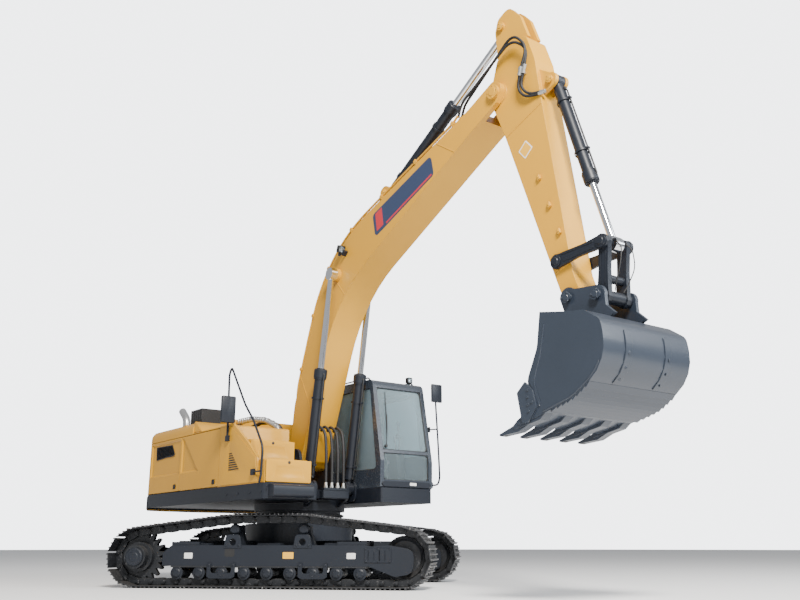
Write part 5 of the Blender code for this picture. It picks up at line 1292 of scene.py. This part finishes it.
base = Shape(HOUSE)
base.block((seat_low.x + 0.10, sy - 0.18, sz), (seat_high.x - 0.12, sy + 0.18, sz + 0.05), 0.01)
for k in range(4):
    wide = 0.19 - 0.012 * (k % 2)
    base.block((seat_low.x + 0.12, sy - wide, sz + 0.05 + 0.05 * k),
               (seat_high.x - 0.14, sy + wide, sz + 0.095 + 0.05 * k),
               0.018)
base.block((seat_low.x + 0.06, sy - 0.23, sz + 0.25), (seat_high.x - 0.04, sy + 0.23, sz + 0.31), 0.02)
for side in (-1, 1):
    base.sweep([(seat_low.x + 0.12, sy + side * 0.13, seat_high.z - 0.32),
                (seat_low.x + 0.09, sy + side * 0.10, seat_high.z - 0.12)],
               0.008, 8, 0)
base.make("seat_base", "upper_structure", TRIM, "trim_plastic", replaces=["operator_seat"])
cushion("seat_cushion", (seat_low.x + 0.10, sy - 0.25, sz + 0.30), (seat_high.x, sy + 0.25, sz + 0.44),
        -4.0)
cushion("seat_back", (seat_low.x + 0.05, sy - 0.24, sz + 0.40),
        (seat_low.x + 0.19, sy + 0.24, seat_high.z - 0.24), -9.0)
cushion("seat_headrest", (seat_low.x + 0.01, sy - 0.14, seat_high.z - 0.19),
        (seat_low.x + 0.11, sy + 0.14, seat_high.z - 0.01),
        -9.0)

# %% [markdown]
# ## Controls
# Joysticks, levers and pedals are turned and swept parts. Their boots are rubber bellows, and the
# floor under the pedals is a ribbed mat.

# %% Joysticks, levers, pedals, screen and mat
controls = Shape(HOUSE)
for name in ("console_left", "console_right"):
    low, high = span(name, HOUSE)
    x, y, z = high.x - 0.10, (low.y + high.y) / 2, high.z - 0.03
    controls.turned([(0.045, 0.0), (0.040, 0.02), (0.044, 0.03), (0.030, 0.05), (0.033, 0.06),
                     (0.016, 0.09), (0, 0.09)],
                    (x, y, z), "Z", 20)
    controls.sweep([(x, y, z + 0.06), (x + 0.01, y, z + 0.15)], 0.010, 10, 0)
    controls.turned([(0, 0.0), (0.018, 0.0), (0.022, 0.04), (0.019, 0.08), (0.028, 0.11), (0.026, 0.14),
                     (0.012, 0.155),
                     (0, 0.157)], (x + 0.01, y, z + 0.12), "Z", 16)
for side in (-1, 1):
    controls.sweep([(1.12, sy + side * 0.10, 1.41), (1.10, sy + side * 0.10, 1.75),
                    (1.02, sy + side * 0.12, 2.06)],
                   0.012, 10, 0.1)
    controls.bar((1.02, sy + side * 0.12, 2.06), (0.99, sy + side * 0.125, 2.16), 0.020, 0.017, 14, 0.004)
    controls.block((1.06, sy + side * 0.10 - 0.06, 1.425), (1.24, sy + side * 0.10 + 0.06, 1.445), 0.006)
controls.make("levers_and_pedals", "upper_structure", TRIM, "trim_plastic")
display = Shape(HOUSE @ Matrix.Translation((1.05, cab_low.y + 0.13,
                                            2.12)) @ Matrix.Rotation(math.radians(25), 4, "Z"))
display.block((-0.02, -0.015, -0.10), (0.0, 0.17, 0.04), 0.008)
display.sweep([(0.0, 0.06, -0.09), (0.03, 0.05, -0.30), (0.03, 0.02, -0.62)], 0.012, 8, 0.06)
display.make("display", "upper_structure", TRIM, "trim_plastic")
mat_piece = Shape(HOUSE)
mat_piece.plate(oblong(cab_low.x + 0.5, cab_low.y + 0.12, cab_high.x - 0.14, cab_high.y - 0.12, 0.03),
                1.402, 1.410, "XY", 0.001)
mat_piece.make("floor_mat", "upper_structure", FLOOR_MAT, "trim_plastic")
print("cab inside done")

# %% [markdown]
# ## Finding a surface
# Clamps, pipes and caps have to sit on curved plates. A ray sent at a frame piece from outside finds
# the exact point where such a part touches it.


# %% Rays onto a piece
trees = {}  # one search tree per frame piece, made when it is first needed


def touch(node, at, start, direction):
    """Where a ray along a board's axes meets a frame piece."""
    mesh = frame["nodes"][node].data
    if node not in trees:
        trees[node] = BVHTree.FromPolygons([v.co for v in mesh.vertices],
                                           [tuple(p.vertices) for p in mesh.polygons])
    way = (at.to_3x3() @ Vector(direction)).normalized()
    hit = trees[node].ray_cast(at @ Vector(start), way)[0]
    return None if hit is None else at.inverted() @ hit


def pin_cap(shape, node, at, x, z, side, radius, bolts=4):
    """A flanged cap with bolts on the end of a pin."""
    spot = touch(node, at, (x, side * 1.5, z), (0, -side, 0))
    shape.turned([(0, side * 0.014), (radius * 0.55, side * 0.014), (radius * 0.62, side * 0.008),
                  (radius, side * 0.007), (radius, side * -0.004)], (x, spot.y, z), steps=28)
    shape.bolt_ring((x, spot.y + side * 0.007, z), radius * 0.80, bolts, (0, side, 0), 0.009, 180.0 / bolts)


# %% [markdown]
# ## Boom
# The boom is a welded box. Steel pipes carry the oil along its top edges in bolted clamps, weld
# beads mark where the castings join, and a navy panel with a plain red stripe is on both sides.

# %% Boom pipes, clamps and welds
pipes, clamps = Shape(BOOM), Shape(BOOM)
stations = [0.75 + 0.25 * k for k in range(20)]
for side in (-1, 1):
    tops = [touch("boom", BOOM, (x, side * 0.19, 3.0), (0, 0, -1)) for x in stations]
    for y in (0.165, 0.225):
        pipes.sweep([(0.60, side * y, tops[0].z - 0.10)] + [(p.x, side * y, p.z + 0.048) for p in tops]
                    + [(5.62, side * y, tops[-1].z + 0.03)], 0.016, 12, 0.10, 3)
    for p in tops[1::3]:
        clamps.block((p.x - 0.028, side * 0.195 - 0.058, p.z - 0.004),
                     (p.x + 0.028, side * 0.195 + 0.058, p.z + 0.072), 0.006)
        clamps.bolt((p.x, side * 0.195, p.z + 0.072), (0, 0, 1), 0.011)
pipes.make("boom_pipes", "boom", YELLOW, "body_paint")
clamps.make("boom_clamps", "boom", YELLOW, "body_paint")


def bead(shape, node, at, x, lean=0.0, inset=0.012):
    """A weld bead across a side plate, from its lower to its upper edge."""
    for side in (-1, 1):
        face = touch(node, at, (x, side * 1.5, weld_mid(node, at, x)), (0, -side, 0))
        low = touch(node, at, (x - lean, face.y - side * 0.02, -2.0), (0, 0, 1))
        high = touch(node, at, (x + lean, face.y - side * 0.02, 3.0), (0, 0, -1))
        shape.sweep([(low.x, face.y, low.z + inset), (high.x, face.y, high.z - inset)], 0.006, 8, 0)


def weld_mid(node, at, x):
    """The middle height of a piece at a station."""
    low = touch(node, at, (x, 0.0, -2.0), (0, 0, 1))
    high = touch(node, at, (x, 0.0, 3.0), (0, 0, -1))
    return (low.z + high.z) / 2


welds = Shape(BOOM)
for x, lean in ((0.86, 0.06), (2.50, 0.0), (5.20, -0.05)):
    bead(welds, "boom", BOOM, x, lean)
welds.make("boom_welds", "boom", YELLOW, "body_paint")

for label, side in SIDES:
    panel, stripe = Shape(BOOM), Shape(BOOM)
    face = touch("boom", BOOM, (4.2, side * 1.5, 0.75), (0, -side, 0)).y
    low_y, high_y = sorted((face - side * 0.001, face + side * 0.002))
    panel.plate(rounded([(3.52, 0.82, 0.06), (4.83, 0.30, 0.06), (4.98, 0.56, 0.06),
                         (3.70, 1.13, 0.06)], 5),
                low_y, high_y, bevel=0.0)
    panel.make(f"boom_panel_{label}", "boom", NAVY, "trim_plastic")
    low_y, high_y = sorted((face + side * 0.001, face + side * 0.003))
    stripe.plate([(3.60, 0.85), (3.75, 0.79), (3.90, 1.02), (3.75, 1.08)], low_y, high_y, bevel=0.0)
    stripe.plate([(3.80, 0.735), (4.80, 0.335), (4.81, 0.360), (3.81, 0.760)], low_y, high_y, bevel=0.0)
    stripe.make(f"boom_stripe_{label}", "boom", RED, "trim_plastic")

work_lamp("boom_lamp", "boom", BOOM @ Vector((2.95, -0.30, 1.36)),
          Matrix.Rotation(math.radians(20), 4, "Y"))
bracket = Shape(BOOM)
bracket.block((2.90, -0.31, 1.26), (2.98, -0.235, 1.30), 0.004)
bracket.bolt((2.94, -0.246, 1.28), (0, -1, 0), 0.009)
bracket.make("boom_lamp_bracket", "boom", GRAPHITE, "frame_paint")

caps = Shape(BOOM)
for side in (-1, 1):
    pin_cap(caps, "boom", BOOM, 2.583, 1.227, side, 0.075)
    pin_cap(caps, "boom", BOOM, 6.16, 0.0, side, 0.095)
    pin_cap(caps, "boom", BOOM, 4.010, 1.302, side, 0.055, 3)
caps.make("boom_pin_caps", "boom", YELLOW, "body_paint")
print("boom done")

# %% [markdown]
# ## Cylinders
# Each hydraulic cylinder gets its gland head with a ring of bolts, a wiper ring on the rod, and the
# steel pipe that feeds the rod side, held to the barrel by two bands.


# %% Dress a cylinder
def dress_cylinder(name, node, body, at, y, radius, up=1.0):
    """Gland, bolts, bands and the feed pipe of one cylinder."""
    low, high = span(node, at)
    end = high.x
    parts = Shape(at)
    parts.turned([(radius - 0.004, -0.13), (radius + 0.008, -0.125), (radius + 0.008, -0.012),
                  (radius, -0.004),
                  (radius * 0.72, 0.0), (radius * 0.70, 0.012), (radius * 0.60, 0.016),
                  (radius * 0.58, 0.0)],
                 (end, y, 0), "X", 32)
    parts.bolt_ring((end - 0.002, y, 0.0), radius * 0.84, 8, (1, 0, 0), 0.010, 22, "YZ")
    for x in (0.32, end - 0.42):
        parts.turned([(radius - 0.004, -0.014), (radius + 0.004, -0.014), (radius + 0.004, 0.014),
                      (radius - 0.004, 0.014)], (x, y, 0), "X", 32)
        parts.block((x - 0.014, y - 0.022, up * radius if up > 0 else -radius - 0.034),
                    (x + 0.014, y + 0.022, radius + 0.034 if up > 0 else -radius), 0.003)
    parts.make(f"{name}_gland", body, GRAPHITE, "frame_paint")
    feed = Shape(at)
    z = up * (radius + 0.018)
    feed.sweep([(end - 0.07, y, up * (radius - 0.01)), (end - 0.07, y, z), (0.20, y, z),
                (0.16, y, up * (radius - 0.01))],
               0.011, 10, 0.03)
    feed.bar((end - 0.07, y, up * (radius - 0.005)), (end - 0.07, y, up * (radius + 0.012)), 0.020, sides=6)
    feed.bar((0.16, y, up * (radius - 0.01)), (0.16, y, up * (radius + 0.010)), 0.020, sides=6)
    feed.make(f"{name}_feed_pipe", body, TRIM, "trim_plastic")


for label, side in SIDES:
    dress_cylinder(f"boom_cylinder_{label}", f"boom_cylinder_barrel_{label}", "boom_barrels", BOOM_CYLINDER,
                   side * 0.345, 0.088, -1.0)
dress_cylinder("arm_cylinder", "arm_cylinder_barrel", "arm_barrel", ARM_CYLINDER, 0.0, 0.088)
dress_cylinder("bucket_cylinder", "bucket_cylinder_barrel", "bucket_barrel", BUCKET_CYLINDER, 0.0, 0.078)
print("cylinders done")

# %% [markdown]
# ## Hoses at the boom's foot
# Four big hoses leave a black manifold between the cylinders, held low on a bracket so the lowered
# boom clears it, and go up to the boom's pipes. They cross the boom's hinge, so they ride on no body.

# %% Hose bank
HOSE_ROW = (-0.15, -0.05, 0.05, 0.15)
bank = Shape(HOUSE)
bank.block((0.56, -0.14, 1.198), (0.96, 0.14, 1.214), 0.004)
bank.block((0.92, -0.22, 1.20), (1.02, 0.22, 1.31), 0.008)
bank.block((0.93, -0.20, 1.31), (1.01, 0.20, 1.35), 0.006)
for x in (0.94, 1.00):
    for y in (-0.19, 0.19):
        bank.bolt((x, y, 1.31), (0, 0, 1), 0.011)
bank.make("hose_manifold", "upper_structure", GRAPHITE, "frame_paint")
fittings = Shape(HOUSE)
for y in HOSE_ROW:
    fittings.bar((0.97, y, 1.35), (0.97, y, 1.38), 0.030, sides=6, bevel=0.002)
    fittings.bar((0.97, y, 1.38), (0.97, y, 1.425), 0.026, 0.022, 16)
fittings.make("hose_fittings", "upper_structure", STEEL, "rod_chrome")
for k, y in enumerate(HOSE_ROW):
    hose = Shape(HOUSE)
    hose.sweep([(0.97, y, 1.41), (0.97, y, 1.85), (0.92, y, 2.16), (0.74, y * 1.05, 2.26),
                (0.655, y * 1.1, 2.20)],
               0.021, 12, 0.16, 6)
    made = hose.make(f"boom_hose_{k}", None, RUBBER, "trim_plastic")
    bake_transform(made)

# %% [markdown]
# ## Arm
# Two hoses loop from the boom's pipes over the arm's hinge to the bucket cylinder. The arm's side
# has a blank yellow warning diamond on white, three clamp blocks and its welds.

# %% Arm hoses, sign, clamps and welds
boom_tip = ARM.inverted() @ BOOM @ Vector((5.60, -0.205,
                                           touch("boom", BOOM, (5.5, -0.19, 3.0), (0, 0, -1)).z + 0.03))
for k, drop in enumerate((0.0, 0.05)):
    hose = Shape(ARM)
    start = boom_tip + Vector((0, 0.0 if k == 0 else 0.055, 0))
    hose.sweep([start, start + Vector((-0.10, -0.03, 0.14)), (-0.42 - drop, -0.25, 0.50 + drop),
                (-0.12, -0.235 - 0.02 * k, 0.66 + 0.4 * drop), (0.10, -0.235 - 0.02 * k, 0.50 - drop)],
                0.017, 12, 0.16, 6)
    made = hose.make(f"arm_hose_{k}", None, RUBBER, "trim_plastic")
    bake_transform(made)
line = Shape(ARM)
for k, drop in enumerate((0.0, 0.05)):
    line.sweep([(0.08, -0.235 - 0.02 * k, 0.52 - drop), (0.24, -0.215, 0.36 - drop),
                (0.42, -0.205, 0.42 - drop),
                (0.52, -0.165, 0.60 - 0.5 * drop)], 0.017, 12, 0.10, 6)
line.make("arm_hose_tails", "arm", RUBBER, "trim_plastic")
ends = Shape(ARM)
for k, drop in enumerate((0.0, 0.05)):
    ends.bar((0.05, -0.236 - 0.02 * k, 0.545 - drop), (0.13, -0.230 - 0.02 * k, 0.475 - drop), 0.024,
             sides=14)
    ends.bar((0.50, -0.175, 0.56 - 0.5 * drop), (0.53, -0.158, 0.62 - 0.5 * drop), 0.023, sides=14)
ends.block((0.02, -0.25, 0.44), (0.10, -0.158, 0.47), 0.004)
ends.make("arm_hose_ends", "arm", STEEL, "rod_chrome")

face = touch("arm", ARM, (1.0, -1.5, 0.1), (0, 1, 0)).y
for name, half_size, lift, paint in (("white", 0.105, 0.002, SIGN_WHITE),
                                     ("yellow", 0.088, 0.003, SIGN_YELLOW)):
    sign = Shape(ARM)
    spin = math.radians(20.0)
    loop = []
    for k in range(4):
        angle = spin + math.radians(90 * k + 45)
        loop.append((0.98 + half_size * 1.1 * math.cos(angle), 0.08 + half_size * 1.1 * math.sin(angle),
                     0.012))
    sign.plate(rounded(loop, 3), face - lift, face + 0.001, bevel=0.0)
    sign.make(f"arm_sign_{name}", "arm", paint, "trim_plastic")
blocks = Shape(ARM)
for x in (1.45, 1.85, 2.22):
    spot = touch("arm", ARM, (x, -1.5, 0.12), (0, 1, 0))
    blocks.block((x - 0.035, spot.y - 0.030, 0.10), (x + 0.035, spot.y + 0.002, 0.15), 0.006)
    blocks.bolt((x, spot.y - 0.030, 0.125), (0, -1, 0), 0.010)
bead(blocks, "arm", ARM, 0.62)
bead(blocks, "arm", ARM, 2.62)
for side in (-1, 1):
    pin_cap(blocks, "arm", ARM, -0.87, 0.357, side, 0.055, 3)
    pin_cap(blocks, "arm", ARM, 0.404, 0.705, side, 0.050, 3)
    pin_cap(blocks, "arm", ARM, 0.0, 0.0, side, 0.080, 3)
blocks.make("arm_blocks_and_welds", "arm", YELLOW, "body_paint")
print("arm done")

# %% [markdown]
# ## Bucket linkage
# The rockers are forged plates with a sunken web, and the power link joins them to the bucket. Their
# pins end in flanged caps, and thin grease lines run to the joints that a hand can't reach.

# %% Rockers, link and grease lines
for label, side in SIDES:
    rocker = Shape(ROCKER)
    node = f"rocker_{label}"
    low, high = span(node, ROCKER)
    face = high.y if side > 0 else low.y
    out = face - side * 0.003, face + side * 0.006
    rocker.plate([(0.035, 0.10), (0.062, 0.09), (0.170, 0.50), (0.145, 0.51)], min(out), max(out),
                 bevel=0.003)
    rocker.plate([(-0.045, 0.11), (-0.02, 0.10), (0.110, 0.52), (0.085, 0.53)], min(out), max(out),
                 bevel=0.003)
    for x, z, radius in ((0.0, 0.0, 0.072), (0.158, 0.613, 0.070)):
        rocker.turned([(0, side * 0.026), (radius * 0.5, side * 0.026), (radius * 0.6, side * 0.016),
                       (radius, side * 0.012), (radius, side * -0.002)], (x, face, z), steps=28)
        rocker.bolt_ring((x, face + side * 0.012, z), radius * 0.8, 3, (0, side, 0), 0.008, 20)
    rocker.make(f"rocker_web_{label}", "rockers", GRAPHITE, "frame_paint")

eye = LINK.inverted() @ BUCKET @ Vector((-0.129, 0.0, 0.372))
link = Shape(LINK)
for side in (-1, 1):
    face = touch("power_link", LINK, (eye.x / 2, side * 1.5, eye.z / 2), (0, -side, 0)).y
    along = Vector((eye.x, eye.z)).normalized()
    off = Vector((-along.y, along.x))
    for shift in (-0.034, 0.026):
        a, b = along * 0.10 + off * shift, along * 0.45 + off * shift
        link.plate([tuple(a), tuple(b), tuple(b + off * 0.010), tuple(a + off * 0.010)],
                   min(face, face + side * 0.006), max(face, face + side * 0.006), bevel=0.002)
link.make("power_link_ribs", "power_link", GRAPHITE, "frame_paint")
grease = Shape(LINK)
for k, y in enumerate((-0.06, 0.07)):
    grease.sweep([(0.02, y, 0.075), (0.12, y * 1.3, 0.12), (0.30, y * 1.8, 0.05), (0.44, y * 1.4, -0.10),
                  (eye.x - 0.03, y, eye.z + 0.085)], 0.006, 8, 0.08, 5)
grease.make("grease_lines", "power_link", TRIM, "trim_plastic")

# %% [markdown]
# ## Bucket
# A digging bucket wears where it slides through the ground. Shingled wear strips step down its back
# to the lip, and two bolted straps stiffen the rolled heel.

# %% Wear strips and straps
HEART = Vector((0.60, 0.0, 0.52))


def on_shell(degrees, y=0.0):
    """The bucket's outside at an angle round its middle, with its outward direction."""
    angle = math.radians(degrees)
    way = Vector((math.cos(angle), 0.0, math.sin(angle)))
    return touch("bucket", BUCKET, HEART + way * 3.0 + Vector((0, y, 0)), -way)


strips = Shape(BUCKET)
edges = [on_shell(8 + 9.5 * k) for k in range(9)]
for lower, upper in zip(edges, edges[1:]):
    out = (upper - lower).cross(Vector((0, 1, 0))).normalized()
    if out.dot(lower - HEART) < 0:
        out = -out
    loop = [lower - out * 0.006, lower + out * 0.024, upper + out * 0.003, upper - out * 0.006]
    strips.plate([(p.x, p.z) for p in loop], -0.655, 0.655, bevel=0.0015, segments=1)
strips.make("bucket_wear_strips", "bucket", BUCKET_PAINT, "frame_paint")

straps = Shape(BUCKET)
for y in (-0.30, 0.30):
    route = [on_shell(86 + 7 * k, y) for k in range(9)]
    route = [p for p in route if p is not None]
    outer = [p + (p - HEART).normalized() * 0.014 for p in route]
    inner = [p - (p - HEART).normalized() * 0.004 for p in route]
    loop = [(p.x, p.z) for p in outer + inner[::-1]]
    straps.plate(loop, y - 0.05, y + 0.05, bevel=0.003)
    for k in (1, 3, 5):
        p = outer[k]
        straps.bolt(p, p - HEART, 0.014, 0.006)
straps.make("bucket_straps", "bucket", BUCKET_PAINT, "frame_paint")

# %% [markdown]
# ## Cheeks and teeth
# The side plates get their beads, a lip and the bolts of the side cutters. Five adapters straddle
# the lip, and each carries a forged point on a round pin.

# %% Cheeks, cutters and teeth
cheeks = Shape(BUCKET)
for side in (-1, 1):
    face = touch("bucket", BUCKET, (0.60, side * 2.0, 0.60), (0, -side, 0)).y
    cheeks.sweep([(0.30, face, 0.17), (0.60, face, 0.245), (0.90, face, 0.26), (1.08, face, 0.44)],
                 0.008, 8, 0.12)
    route = [HEART + (on_shell(a) - HEART) * 0.955 for a in range(-2, 118, 8)]
    cheeks.sweep([(p.x, face, p.z) for p in route], 0.007, 8, 0.05, 3)
    cheeks.plate([(0.60, 0.205), (0.90, 0.215), (1.10, 0.415), (1.04, 0.44), (0.86, 0.255), (0.60, 0.245)],
                 min(face, face + side * 0.006), max(face, face + side * 0.006), bevel=0.002, segments=1)
    for x, z in ((0.98, 0.235), (1.045, 0.265), (1.11, 0.30), (1.17, 0.335), (1.07, 0.345)):
        spot = touch("bucket", BUCKET, (x, side * 2.0, z), (0, -side, 0))
        if spot is not None and abs(spot.y) > 0.6:
            cheeks.bolt((x, spot.y, z), (0, side, 0), 0.015)
    for x, z in ((0.0, 0.0), (-0.129, 0.372)):
        pin_cap(cheeks, "bucket", BUCKET, x, z, side, 0.062, 3)
cheeks.make("bucket_cheeks", "bucket", BUCKET_PAINT, "frame_paint")

adapters, points = Shape(BUCKET), Shape(BUCKET)
for k in range(5):
    y = -0.595 + 0.2975 * k
    adapters.plate(rounded([(1.10, 0.535, 0.01), (1.09, 0.44, 0.02), (1.17, 0.30, 0.02),
                            (1.32, 0.185, 0.02),
                            (1.40, 0.150, 0.015), (1.425, 0.185, 0.015), (1.34, 0.300, 0.03),
                            (1.20, 0.485, 0.02)], 3),
                   y - 0.058, y + 0.058, bevel=0.010, segments=2)
    for side in (-1, 1):
        adapters.bar((1.335, y + side * 0.055, 0.225), (1.335, y + side * 0.066, 0.225), 0.017, sides=16)
    tip = [(1.345, 0.205), (1.430, 0.120), (1.555, 0.000), (1.562, 0.010), (1.480, 0.135), (1.405, 0.235)]
    points.plate(tip, y - 0.045, y + 0.045, bevel=0.006, segments=2)
adapters.make("tooth_adapters", "bucket", BUCKET_PAINT, "track_steel")
points.make("tooth_points", "bucket", TRACK, "track_steel")
print("bucket done")

# %% [markdown]

# %% [markdown]
